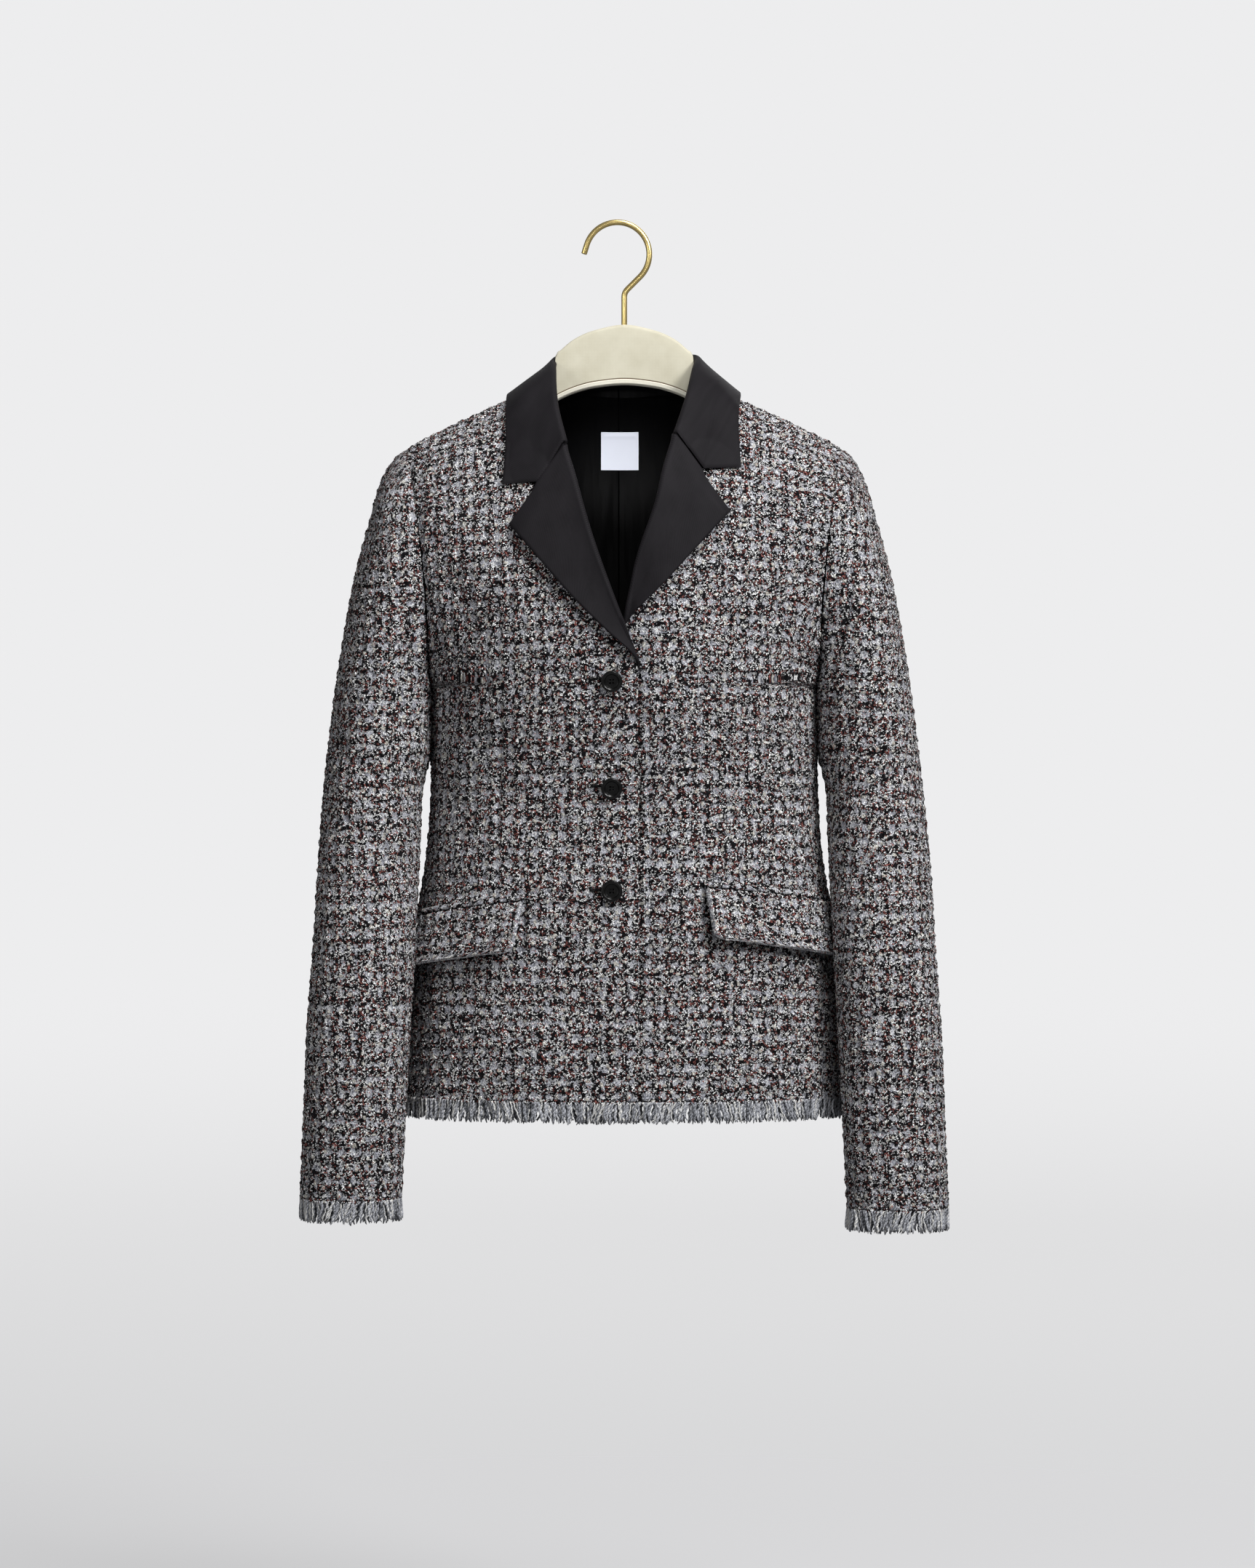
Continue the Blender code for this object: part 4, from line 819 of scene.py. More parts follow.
# Creases across a sleeve: the ring of its middle and how many degrees over the front that lies from
# the outer line, how far it reaches round, its width in rings, its depth, and its slope in rings.
SleeveCrease = namedtuple("SleeveCrease", "ring turn reach width depth slope")
SLEEVE_CREASES = {
    RIGHT: [
        SleeveCrease(6.7, 70, 50, 0.16, -1.6 * MM, 0.25),
        SleeveCrease(7.7, 100, 45, 0.14, -2.4 * MM, 0.35),
        SleeveCrease(8.4, 85, 50, 0.15, -2.0 * MM, 0.20),
        SleeveCrease(9.3, 110, 40, 0.14, -1.6 * MM, 0.30),
        SleeveCrease(10.4, 60, 45, 0.18, -1.3 * MM, -0.20),
        SleeveCrease(8.0, -95, 45, 0.20, 1.8 * MM, 0.25),
        SleeveCrease(2.3, 120, 35, 0.30, -2.6 * MM, 0.50),
        SleeveCrease(3.0, -120, 35, 0.30, -2.6 * MM, 0.50),
    ],
    LEFT: [
        SleeveCrease(6.9, 75, 45, 0.15, -1.7 * MM, 0.30),
        SleeveCrease(7.9, 95, 50, 0.16, -2.2 * MM, 0.25),
        SleeveCrease(8.8, 90, 45, 0.14, -1.9 * MM, 0.35),
        SleeveCrease(9.8, 105, 40, 0.15, -1.5 * MM, 0.20),
        SleeveCrease(10.9, 55, 40, 0.18, -1.2 * MM, -0.25),
        SleeveCrease(8.3, -90, 45, 0.20, 1.7 * MM, 0.20),
        SleeveCrease(2.5, 120, 35, 0.30, -2.5 * MM, 0.45),
        SleeveCrease(2.8, -120, 35, 0.30, -2.7 * MM, 0.50),
    ],
}
SLEEVE_SLIM = {RIGHT: 0.6 * MM, LEFT: 2.8 * MM}      # off the upper arm's outer line
UNDERARM_SWELL = 6.5 * MM    # out to where the sleeve rests against the body
SLEEVE_RADIUS = 54 * MM      # about, where it is widest
EASED_TURN = math.radians(50)


def sleeve_points(side, ring, turn):
    """Points of a sleeve; turn is 0 at its outer line and grows over the front."""
    value = {name: read(ring) for name, read in ring_value.items()}
    drop = LEFT_SLEEVE_DROP * blend(0, 1, (DROP_FROM_Z - value["outer_z"]) / DROP_OVER) * (side == LEFT)
    half_x, half_z = (value["outer_x"] - value["inner_x"]) / 2, (value["outer_z"] - value["inner_z"]) / 2
    x = value["inner_x"] + half_x * (1 + np.cos(turn)) - value["hollow"] * np.sin(turn) ** 2
    y = value["centre_y"] - value["half_depth"] * np.sin(turn)
    z = value["inner_z"] + half_z * (1 + np.cos(turn)) - drop
    return np.stack([x * side, y, z], axis=-1)


def sleeve_grid(side, first, last, step):
    """A sleeve piece's points between two turns, rows an even step apart from the cuff up."""
    trial = np.linspace(SLEEVE_RINGS[-1].ring, 0, 300)
    rings = spaced_evenly(trial, sleeve_points(side, trial, np.full(300, (first + last) / 2)), step)
    turns = np.linspace(first, last, even_steps(SLEEVE_RADIUS * (last - first), step) + 1)
    ring, turn = np.meshgrid(rings, turns, indexing="ij")
    return sleeve_points(side, ring, turn), ring, turn


SleevePiece = namedtuple("SleevePiece", "name first last step")
SLEEVE_PIECES = [
    SleevePiece("upper_sleeve", -UPPER_SLEEVE_TURN, UPPER_SLEEVE_TURN, 1.75 * MM),
    SleevePiece("under_sleeve", UPPER_SLEEVE_TURN, 2 * math.pi - UPPER_SLEEVE_TURN, 2.2 * MM),
]
sleeve_grids = {}
for side in (RIGHT, LEFT):
    for name, first, last, step in SLEEVE_PIECES:
        points, ring, turn = sleeve_grid(side, first, last, step)
        inside_it = points.mean(axis=1, keepdims=True)
        if name == "under_sleeve":
            inside_it = inside_it + (0.04 * side, 0, 0)
        normals = normals_of(points, inside_it)
        across, up = lengths_of(points)
        columns = points.shape[1] - 1
        if name == "upper_sleeve":
            # laid from the front and from the back, and eased together over the outer line
            in_front = blend(-EASED_TURN, EASED_TURN, turn)
            laid = [on_the_grain(points, normals, round(columns * share)) for share in (0.9, 0.1)]
            u, v = (before * in_front + (behind - behind[:1, -1:] + before[:1, -1:]) * (1 - in_front)
                    for before, behind in zip(*laid))
            v = v - v[0].min()
        else:
            u, v = on_the_grain(points, normals, columns // 2)
        over = tweed_relief(u, v, seed=20 + side + len(name))
        over *= blend(0, 3 * MM, np.minimum(up, up[-1:] - up))
        over *= blend(-2 * MM, 4 * MM, np.minimum(across, across[:, -1:] - across))
        over -= seam_dip(across, up, ("head",)) + 0.25 * seam_dip(across, up, ("start", "end"))
        slim = np.exp(-(turn / 0.9) ** 2) * blend(0, 2.0, ring) * (1 - blend(6.5, 8.5, ring))
        sunk = -SLEEVE_SLIM[side] * slim
        for c in SLEEVE_CREASES[side]:
            away = np.angle(np.exp(1j * (turn - math.radians(c.turn))))
            reach = away / math.radians(c.reach)
            sunk += c.depth * np.exp(-reach ** 4 - ((ring - c.ring - c.slope * away) / c.width) ** 2)
        under_arm = np.exp(-((turn - math.pi) / 0.9) ** 4) * blend(0.1, 1.5, ring)
        sunk += UNDERARM_SWELL * under_arm * (1 - blend(6.0, 7.0, ring))
        sleeve = cloth_piece(f"{SIDE_NAME[side]}_{name}_panel", points + normals * sunk[..., None], normals,
                             over, CLOTH, np.stack([u, v], axis=-1), [tweed, lining])
        declare(points)
        fix(sleeve, "tweed", f"{SIDE_NAME[side]}_{name}")
        sleeve_grids[side, name] = points, normals


# -------------------------------------------------------------------- the back lining and the label
# The black lining of the half backs, which shows inside the neck, with its centre seam pressed to
# one side and a little ease in it. The blank label is sewn on by its top and bottom edges.

LINING = 1.0 * MM
LINING_UNDER = CLOTH + 0.6 * MM
LINING_STEP = 7.5 * MM       # between its points, which are few because it is smooth
LINING_SEAM, LINING_SEAM_WIDTH = 0.9 * MM, 2.0 * MM
LINING_EASE = {
    RIGHT: [Crease(-0.020, -0.150, -0.024, -0.420, 7 * MM, -1.3 * MM),
            Crease(-0.052, -0.170, -0.045, -0.400, 9 * MM, -1.6 * MM)],
    LEFT: [Crease(0.012, -0.155, 0.016, -0.420, 6 * MM, -1.3 * MM),
           Crease(0.044, -0.170, 0.050, -0.380, 9 * MM, -1.6 * MM)],
}
for side in (RIGHT, LEFT):
    points = panel_grid(side, BACK, LINING_STEP, low=0.16)
    normals = normals_of(points, points * (0, 0, 1))
    across, up = lengths_of(points)
    eased = creased(points[..., 0], points[..., 2], LINING_EASE[side])
    under = LINING_UNDER - eased
    if side == LEFT:
        under = under + LINING_SEAM * np.exp(-(across / LINING_SEAM_WIDTH) ** 2)
    half = cloth_piece(f"{SIDE_NAME[side]}_back_lining_panel", points, normals, -under, under + LINING,
                       np.stack([across, up], axis=-1), [lining, lining], coarse=1)
    declare(points)
    fix(half, "lining", f"{SIDE_NAME[side]}_back_lining")


def level_at(side, face, x, z):
    """The level of the shell's row that passes a height at a distance from the middle."""
    low, high = np.zeros(np.shape(z)), np.full(np.shape(z), 2.0)
    for _ in range(26):
        middle = (low + high) / 2
        below = body_points(side, face, middle, turn_at(face, middle, x))[..., 2] < z
        low, high = np.where(below, middle, low), np.where(below, high, middle)
    return (low + high) / 2


NUDGE = 0.01                 # the step in level or turn that a normal is measured over


def shell_at(side, face, x, z, out=0.0):
    """The shell's points at places of the front view, moved out along their normals."""
    x, z = np.broadcast_arrays(np.asarray(x, float), np.asarray(z, float))
    level = level_at(side, face, x, z)
    turn = turn_at(face, level, x)
    round_it = body_points(side, face, level, turn + NUDGE) - body_points(side, face, level, turn - NUDGE)
    above, below = np.minimum(level + NUDGE, 2.0), np.maximum(level - NUDGE, 0.0)
    up_it = body_points(side, face, above, turn) - body_points(side, face, below, turn)
    normals = unit(np.cross(round_it, up_it))
    normals *= np.where(normals[..., 1:2] * face < 0, -1, 1)
    return body_points(side, face, level, turn) + normals * np.asarray(out, float)[..., None]


# Woven polyester label satin: smooth, cool white, faintly ribbed along its weft.
label_satin, tree, shader = new_material("white_label_satin", Base_Color="#eef2ff", Roughness=0.5,
                                         Sheen_Weight=0.2)
ribs = ribs_of(tree, add(tree, "TexCoord").outputs["Object"], 0.9 * MM, "Z")
bumped(tree, shader, ribs, 0.2, 0.08 * MM)

LABEL_RAISE = 2.8 * MM       # above its plain solid
LABEL_UNDER = LINING_UNDER + LINING + 1.6 * MM
LABEL_BOW, LABEL_CLOTH = 0.5 * MM, 0.5 * MM
FOLDED_END, FOLD_FROM, FOLD_TO = 0.3 * MM, 1.2 * MM, 4.6 * MM      # its top end, turned under


def from_rim(across, up):
    """How far each point of a grid is from the nearest of its four edges."""
    return np.minimum(np.minimum(across, across[:, -1:] - across), np.minimum(up, up[-1:] - up))


label_low, label_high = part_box("neck_label")
label_x, label_z = np.meshgrid(np.linspace(label_low.x, label_high.x, 31),
                               np.linspace(label_high.z, label_low.z, 31) + LABEL_RAISE)
label_halves = [shell_at(side, BACK, np.abs(label_x), label_z, -LABEL_UNDER) for side in (RIGHT, LEFT)]
label_points = np.where((label_x < 0)[..., None], *label_halves)
label_normals = -normals_of(label_points, label_points * (0, 0, 1))
across, up = lengths_of(label_points)
rim = from_rim(across, up)
bowed = LABEL_BOW * np.sin(math.pi * across / across[:, -1:])
folded_end = FOLDED_END * (rim > FOLD_FROM) * (rim < FOLD_TO) * (up < 5 * MM)
label = cloth_piece("blank_neck_label", label_points, label_normals, bowed + LABEL_CLOTH + folded_end,
                    0.1 * MM - bowed, np.stack([across, up], axis=-1), [label_satin, label_satin], coarse=1)
declare(label_points)
fix(label, "label", "neck_label")


# ------------------------------------------------------------------------- the collar and the lapels
# Black satin-backed twill over canvas, 2.2 mm thick with turned edges. Each lapel is its front's
# facing, turned out along the roll line; the collar is sewn to it along the gorge, below the notch.

# Silk and wool twill: near black, with a soft sheen and a fine diagonal rib. Its ribs, 0.6 mm apart
# in the real cloth, are drawn 1.1 mm apart so that they show.
satin, tree, shader = new_material("black_silk_twill", Roughness=0.68, Sheen_Weight=0.02, Sheen_Roughness=0.4,
                                   Specular_IOR_Level=0.09)
TWILL_RIB = 1.1 * MM
cut = add(tree, "UVMap", uv_map="cut").outputs["UV"]
turned = add(tree, "Mapping", {"Vector": cut, "Rotation": (0, 0, math.radians(57))})
ribs = ribs_of(tree, turned.outputs[0], TWILL_RIB, "X", Distortion=0.5, Detail=1.0)
cloudy = add(tree, "TexNoise", {"Vector": cut, "Scale": 1 / (22 * MM), "Detail": 3.0})
# painted highlight: the ribs lighten the colour as well as the bump
tone = maths(tree, "MULTIPLY_ADD", ribs, 0.7, cloudy.outputs["Fac"])
tree.links.new(colours(tree, tone, (0.3, "#0b0a0c"), (1.0, "#1e1c1f")), shader.inputs["Base Color"])
bumped(tree, shader, ribs, 0.5, 0.12 * MM)

SATIN = 2.2 * MM             # a turned edge's thickness
SATIN_REST = 0.7 * MM        # under it, on the tweed
EDGE_ROUND = 1.6 * MM        # how far in from a turned edge it rounds off
SEWN_ROUND = 2.2             # how many times less at the ends, which are sewn or notched
UNROUNDED = 6                # columns of points behind a fold, which keep their full height

# A lapel's rows from the gorge to the break: its roll line and its outer edge.
LapelRow = namedtuple("LapelRow", "row roll_x roll_z edge_x edge_z")
LAPEL = {
    RIGHT: [
        LapelRow(0, 0.0470, -0.1920, 0.0939, -0.2556),    # gorge, to the lapel's point
        LapelRow(1, 0.0400, -0.2145, 0.0785, -0.2733),
        LapelRow(2, 0.0319, -0.2443, 0.0627, -0.2919),
        LapelRow(3, 0.0212, -0.2803, 0.0413, -0.3165),
        LapelRow(4, 0.0106, -0.3142, 0.0153, -0.3427),
        LapelRow(5, 0.0011, -0.3385, -0.0042, -0.3606),
        LapelRow(6, -0.0103, -0.3685, -0.0113, -0.3712),  # break
    ],
    LEFT: [
        LapelRow(0, 0.0395, -0.1835, 0.0867, -0.2450),
        LapelRow(1, 0.0318, -0.2091, 0.0773, -0.2550),
        LapelRow(2, 0.0250, -0.2380, 0.0528, -0.2819),
        LapelRow(3, 0.0125, -0.2802, 0.0231, -0.3153),
        LapelRow(4, 0.0065, -0.3090, 0.0110, -0.3270),
        LapelRow(5, 0.0010, -0.3360, 0.0014, -0.3380),
    ],
}
ROLL_LIFT = 1.7 * MM         # how far a lapel stands off its front just past the roll line
EDGE_LIFT = 5.0 * MM         # and at its outer edge
INSIDE_FACING = 9 * MM       # how far the facing shows behind the roll line
FULL_FOLD = 28 * MM          # how wide a lapel is where its fold takes up the most
FOLD_FLATNESS = 0.3          # of the lapels' pressed folds
GORGE_TUCK = 3.2 * MM        # how far a lapel reaches up under the collar along the gorge seam
ROLL_STEPS = 8


def edge_round(away, thickness, radius=EDGE_ROUND):
    """How far a turned edge falls short of its full height, so far from it."""
    inside = np.clip(1 - away / radius, 0, 1)
    return thickness / 2 * (1 - np.sqrt(1 - inside ** 2))


def over_fold(first, out, inwards, radius, flatness, reach, steps):
    """The columns of points before a grid's first one: in from so far inside, then round its fold."""
    radius = np.broadcast_to(radius, len(first))[:, None]
    fold = []
    for k in range(ROLL_STEPS):
        turn = math.pi * (1 - k / ROLL_STEPS)
        sunk = out * radius * (1 - math.cos(turn))
        fold.append(first - sunk - inwards * radius * math.sin(turn) * flatness)
    return [fold[0] + inwards * reach * (1 - k / steps) for k in range(steps)] + fold


def satin_piece(name, points, ends, across_from_edge):
    """A piece of satin on a grid whose last column is its turned edge, and whose ends are sewn."""
    normals = normals_of(points, points.mean(axis=(0, 1)) * (0, 0, 1))
    across, up = lengths_of(points)
    sewn_end = np.min([{"first": up, "last": up[-1:] - up}[end] for end in ends], axis=0)
    away = np.minimum(across[:, -1:] - across, SEWN_ROUND * sewn_end)
    away[:, :UNROUNDED] = 1.0
    taken = edge_round(away, SATIN)
    uv = np.stack([across - across[:, -1:] if across_from_edge else across, up], axis=-1)
    return cloth_piece(name, points, normals, SATIN - taken, -taken, uv, [satin, satin])


for side in (RIGHT, LEFT):
    read = {name: curve_through(LAPEL[side], "row", name) for name in LapelRow._fields[1:]}
    rows = np.linspace(0, LAPEL[side][-1].row, 109)[:, None]
    share = np.linspace(0, 1, 46)[None, :]
    x = read["roll_x"](rows) + (read["edge_x"](rows) - read["roll_x"](rows)) * share
    z = read["roll_z"](rows) + (read["edge_z"](rows) - read["roll_z"](rows)) * share
    x = x + LAPEL_FOLD * (1 - share) * blend(0, FULL_FOLD, read["edge_x"](rows) - read["roll_x"](rows))
    z = z + GORGE_TUCK * np.exp(-(rows / 0.12) ** 2) * (1 - blend(0.48, 0.56, share))
    width = np.hypot(read["edge_x"](rows) - read["roll_x"](rows), read["edge_z"](rows) - read["roll_z"](rows))
    lift = ROLL_LIFT * np.exp(-share * width / (9 * MM)) * blend(0, 12 * MM, width)
    lift = lift + EDGE_LIFT * share ** 2 * blend(4 * MM, 22 * MM, width) * blend(0, 0.7, rows)
    flat = shell_at(side, FRONT, x, z, SATIN_REST)
    out = unit(shell_at(side, FRONT, x, z, SATIN_REST + 1.0 * MM) - flat)
    flat = flat + out * lift[..., None]
    # behind the roll line the facing turns in round a soft fold and lies inside the front
    fold_radius = (SATIN_REST + ROLL_LIFT * blend(0, 12 * MM, width) + CLOTH + 1.2 * MM)[:, 0] / 2
    inside = over_fold(flat[:, 0], out[:, 0], unit(flat[:, 1] - flat[:, 0]), fold_radius, FOLD_FLATNESS,
                       INSIDE_FACING, 4)
    points = np.concatenate([np.stack(inside, axis=1), flat], axis=1)
    points = points[:, (points.shape[1] - 1) % GROUP:]
    lapel = satin_piece(f"{SIDE_NAME[side]}_lapel_facing", points, ["first"], across_from_edge=True)
    declare(points)
    fix(lapel, "satin", f"{SIDE_NAME[side]}_lapel")

# The collar's stations from the centre back to its front end: its fold and its outer edge.
CollarStation = namedtuple("CollarStation", "along fold_x fold_y fold_z edge_x edge_y edge_z bulge")
COLLAR_BACK = [
    CollarStation(0, 0.0000, 0.0360, -0.1065, 0.0000, 0.0600, -0.1760, 0.0060),    # centre back
    CollarStation(1, 0.0300, 0.0325, -0.1065, 0.0380, 0.0580, -0.1755, 0.0050),
    CollarStation(2, 0.0520, 0.0175, -0.1085, 0.0760, 0.0430, -0.1680, 0.0015),
]
COLLAR = {
    RIGHT: COLLAR_BACK + [
        CollarStation(3, 0.0602, -0.0020, -0.1145, 0.0955, 0.0000, -0.1432, -0.0010),   # shoulder
        CollarStation(4, 0.0597, -0.0300, -0.1270, 0.0974, -0.0475, -0.1610, 0.0040),
        CollarStation(5, 0.0578, -0.0620, -0.1550, 0.0974, -0.0650, -0.1965, 0.0020),
        CollarStation(6, 0.0500, -0.0800, -0.1880, 0.1003, -0.0775, -0.2225, 0.0),     # front end
    ],
    LEFT: COLLAR_BACK + [
        CollarStation(3, 0.0622, -0.0020, -0.1120, 0.0955, 0.0000, -0.1425, -0.0010),
        CollarStation(4, 0.0590, -0.0300, -0.1250, 0.0945, -0.0450, -0.1570, 0.0040),
        CollarStation(5, 0.0535, -0.0600, -0.1500, 0.0941, -0.0600, -0.1785, 0.0020),
        CollarStation(6, 0.0438, -0.0760, -0.1805, 0.0962, -0.0725, -0.2085, 0.0),
    ],
}
NOTCH_DIP = np.array([-5.0 * MM, 0.0, -15.6 * MM])   # from the end's straight line to the notch
COLLAR_LEAN = np.array([0.02, 0.0, 0.03])            # with the edge's depth, the way the fall bulges
COLLAR_CLEAR = 1.3 * MM      # the least room between the collar's under side and the shell
FOLD_RADIUS = 1.2 * MM       # of the collar's fold
COLLAR_INSIDE = 5 * MM       # how far the fall reaches down inside its fold
STAND_FOOT = (0, -4.4 * MM, -9.0 * MM)         # the stand's lower edge, from the neck seam
STAND_TOP = (0, 0, -1.2 * MM)                  # and its upper edge, from the fall's fold


def clear_of_shell(side, points, out):
    """The points, or where the shell moved out by so much covers them."""
    result = points.copy()
    for face in (FRONT, BACK):
        x = np.abs(points[..., 0])
        shoulder = np.full(x.shape, 2.0)
        ridge = body_points(side, face, shoulder, turn_at(face, shoulder, x))[..., 2]
        mine = (np.where(points[..., 1] < 0, FRONT, BACK) == face) & (points[..., 2] < ridge)
        covered = shell_at(side, face, x, np.minimum(points[..., 2], ridge), out)
        mine &= (covered[..., 1] - points[..., 1]) * face > 0
        result = np.where(mine[..., None], covered, result)
    return result


def collar_fall(side, along, share):
    """The under side of the collar's fall, from its fold to its outer edge."""
    value = {name: curve_through(COLLAR[side], "along", name)(along) for name in CollarStation._fields[1:]}
    fold = np.stack([value["fold_x"], value["fold_y"], value["fold_z"]], axis=-1)
    edge = np.stack([value["edge_x"], value["edge_y"], value["edge_z"]], axis=-1)
    lean = unit(COLLAR_LEAN + edge * (0, 1, 0))
    points = fold + (edge - fold) * share[..., None]
    points += lean * (value["bulge"] * np.sin(math.pi * share))[..., None]
    points += NOTCH_DIP * (blend(5.0, 6.0, along) * (1 - np.abs(2 * share - 1)))[..., None]
    return clear_of_shell(side, points * (side, 1, 1), COLLAR_CLEAR)


halves = []
for side in (RIGHT, LEFT):
    along, share = np.meshgrid(np.linspace(0, 6, 124), np.linspace(0, 1, 43), indexing="ij")
    halves.append(collar_fall(side, along, share))
points = np.concatenate([halves[0][::-1], halves[1][1:]])
normals = normals_of(points, points.mean(axis=(0, 1)) * (1, 1, 0) + (0, 0, -0.35))
# over the fold the collar turns in towards the neck
inside = over_fold(points[:, 0], normals[:, 0], unit(points[:, 1] - points[:, 0]), FOLD_RADIUS, 1.0,
                   COLLAR_INSIDE, 3)
points = np.concatenate([np.stack(inside, axis=1), points], axis=1)
points = points[(points.shape[0] - 1) % GROUP:, (points.shape[1] - 1) % GROUP:]
collar = satin_piece("collar_fall", points, ["first", "last"], across_from_edge=False)
declare(points)
fix(collar, "satin", "collar")

# The stand, from the back's neck seam up to the fold, inside the fall.
halves = []
for side in (RIGHT, LEFT):
    share = np.linspace(0, 1, 31)
    fold = collar_fall(side, 3 * share, np.zeros(31))
    level = 2.0 - (2.0 - BACK_NECK_LEVEL) * np.cos(math.pi / 2 * share)
    seam = body_points(side, BACK, level, turn_at(BACK, level, row_start(side, BACK, level)))
    foot, top = seam + STAND_FOOT, fold + STAND_TOP
    rise = np.linspace(0, 1, 10)[None, :, None]
    halves.append(foot[:, None] + (top - foot)[:, None] * rise)
points = np.concatenate([halves[0][::-1], halves[1][1:]])
normals = normals_of(points, points.mean(axis=(0, 1)) * (1, 0, 1))
across, up = lengths_of(points)
stand = cloth_piece("collar_stand_band", points, normals, 0.0, 1.6 * MM,
                    np.stack([across, up], axis=-1), [satin, lining])
declare(points)
fix(stand, "satin", "collar_stand")


# ------------------------------------------------------------------------------ the pocket flaps
# Two flaps of doubled tweed, 43 mm deep with one rounded corner, each hanging from a narrow welt
# that binds the pocket's mouth. They are caught down only along their top edge.

Flap = namedtuple("Flap", "near_turn far_turn near_z far_z")
FLAP = {
    RIGHT: Flap(math.radians(28.0), math.radians(78.0), -0.5635, -0.5790),
    LEFT: Flap(math.radians(22.3), math.radians(78.0), -0.5525, -0.5665),
}
FLAP_HEIGHT, FLAP_SLANT, FLAP_CORNER = 43 * MM, math.radians(0.8), 9 * MM
FLAP_DEEPER = {RIGHT: 1 * MM, LEFT: 6 * MM}          # towards the side seam
FLAP_CLOTH, FLAP_REST, FLAP_LIFT = 3.4 * MM, 1.2 * MM, 7.5 * MM
NEAR_LIFT, NEAR_LIFT_TURN = 3.5 * MM, 0.12           # what its nearer end stands off besides
RIM, RIM_FROM_EDGE, RIM_WIDTH = 1.0 * MM, 2.0 * MM, 1.3 * MM      # the pressed edge's ridge
TOP_SINK, TOP_SINK_WIDTH = 2.2 * MM, 1.8 * MM        # where its top edge goes in under the welt
FLAP_ROUND, WELT_ROUND = 1.9 * MM, 1.8 * MM
WELT_HEIGHT, WELT_CLOTH = 5 * MM, 2.0 * MM
POCKET_X, POCKET_LEVEL, POCKET_WIDTH = 0.100, 0.4, 0.118


def on_front(side, turn, z, out):
    """Points on a front, so far round the body and so high, moved out."""
    level = level_at(side, FRONT, np.full(np.shape(z), POCKET_X), z)
    return shell_at(side, FRONT, half_width(level) * np.sin(turn), z, out)


def seam_z(flap, turn):
    """How high the seam between a flap and its welt lies, so far round the body."""
    share = (turn - flap.near_turn) / (flap.far_turn - flap.near_turn)
    return flap.near_z + (flap.far_z - flap.near_z) * share


for side in (RIGHT, LEFT):
    flap = FLAP[side]
    down = np.linspace(1, 0, even_steps(FLAP_HEIGHT, 1.3 * MM) + 1)[:, None]
    over_corner = np.clip(FLAP_HEIGHT * down - (FLAP_HEIGHT - FLAP_CORNER), 0, FLAP_CORNER)
    cut_in = FLAP_CORNER - np.sqrt(FLAP_CORNER ** 2 - over_corner ** 2)
    near = flap.near_turn + FLAP_SLANT * down + cut_in / half_width(POCKET_LEVEL)
    turn = near + (flap.far_turn - near) * np.linspace(0, 1, even_steps(POCKET_WIDTH, 1.4 * MM) + 1)[None, :]
    height = FLAP_HEIGHT + FLAP_DEEPER[side] * (turn - near) / (flap.far_turn - near)
    near_end = np.exp(-((turn - near) / NEAR_LIFT_TURN) ** 2)
    lifted = FLAP_LIFT * down + NEAR_LIFT * near_end * blend(0, 0.5, down)
    points = on_front(side, turn, seam_z(flap, turn) - height * down, FLAP_REST + lifted)
    normals = normals_of(points, points * (0, 0, 1))
    across, up = lengths_of(points)
    away = np.minimum(np.minimum(across, across[:, -1:] - across), up)
    taken = edge_round(away, FLAP_CLOTH, FLAP_ROUND)
    taken += TOP_SINK * np.exp(-((up[-1:] - up) / TOP_SINK_WIDTH) ** 2)
    relief = tweed_relief(across, up, seed=60 + side) * blend(0, 2 * MM, away)
    relief += RIM * np.exp(-((away - RIM_FROM_EDGE) / RIM_WIDTH) ** 2)
    piece = cloth_piece(f"{SIDE_NAME[side]}_flap", points, normals, FLAP_CLOTH - taken + relief, -taken,
                        np.stack([across, up], axis=-1) + FLAP_PLACE, [tweed, lining])
    declare(points)
    fix(piece, "tweed", f"{SIDE_NAME[side]}_pocket_flap")

    turn = np.linspace(flap.near_turn, flap.far_turn, even_steps(0.1, 1.4 * MM) + 1)[None, :]
    rise = np.linspace(0.3 * MM, WELT_HEIGHT, 7)[:, None]
    points = on_front(side, turn, seam_z(flap, turn) + rise, FLAP_REST)
    normals = normals_of(points, points * (0, 0, 1))
    across, up = lengths_of(points)
    away = from_rim(across, up)
    taken = edge_round(away, WELT_CLOTH, WELT_ROUND)
    relief = tweed_relief(across, up, seed=70 + side) * blend(0, 2 * MM, away)
    welt = cloth_piece(f"{SIDE_NAME[side]}_welt", points, normals, WELT_CLOTH - taken + relief, -taken,
                       np.stack([across, up + 0.1], axis=-1), [tweed, tweed])
    # it is cut twice as high as it shows
    fix(welt, "tweed", f"{SIDE_NAME[side]}_pocket_welt")


# ----------------------------------------------------------------------- the buttons and buttonholes
# Three turned buttons, 17.4 mm across, with a raised rim and four holes, sewn through with black
# thread. Each buttonhole is cut through the right front and worked over in black silk.

# Polished black resin: deep, with a tight highlight on the rim and fine turning marks.
resin, tree, shader = new_material("turned_black_resin", Base_Color="#040404", Roughness=0.3, IOR=1.53,
                                    Specular_IOR_Level=0.35)
place = add(tree, "TexCoord").outputs["Object"]
clouds = add(tree, "TexNoise", {"Vector": place, "Scale": 1 / (4 * MM), "Detail": 4.0})
tree.links.new(ranged(tree, clouds.outputs["Fac"], 0, 1, 0.17, 0.32), shader.inputs["Roughness"])

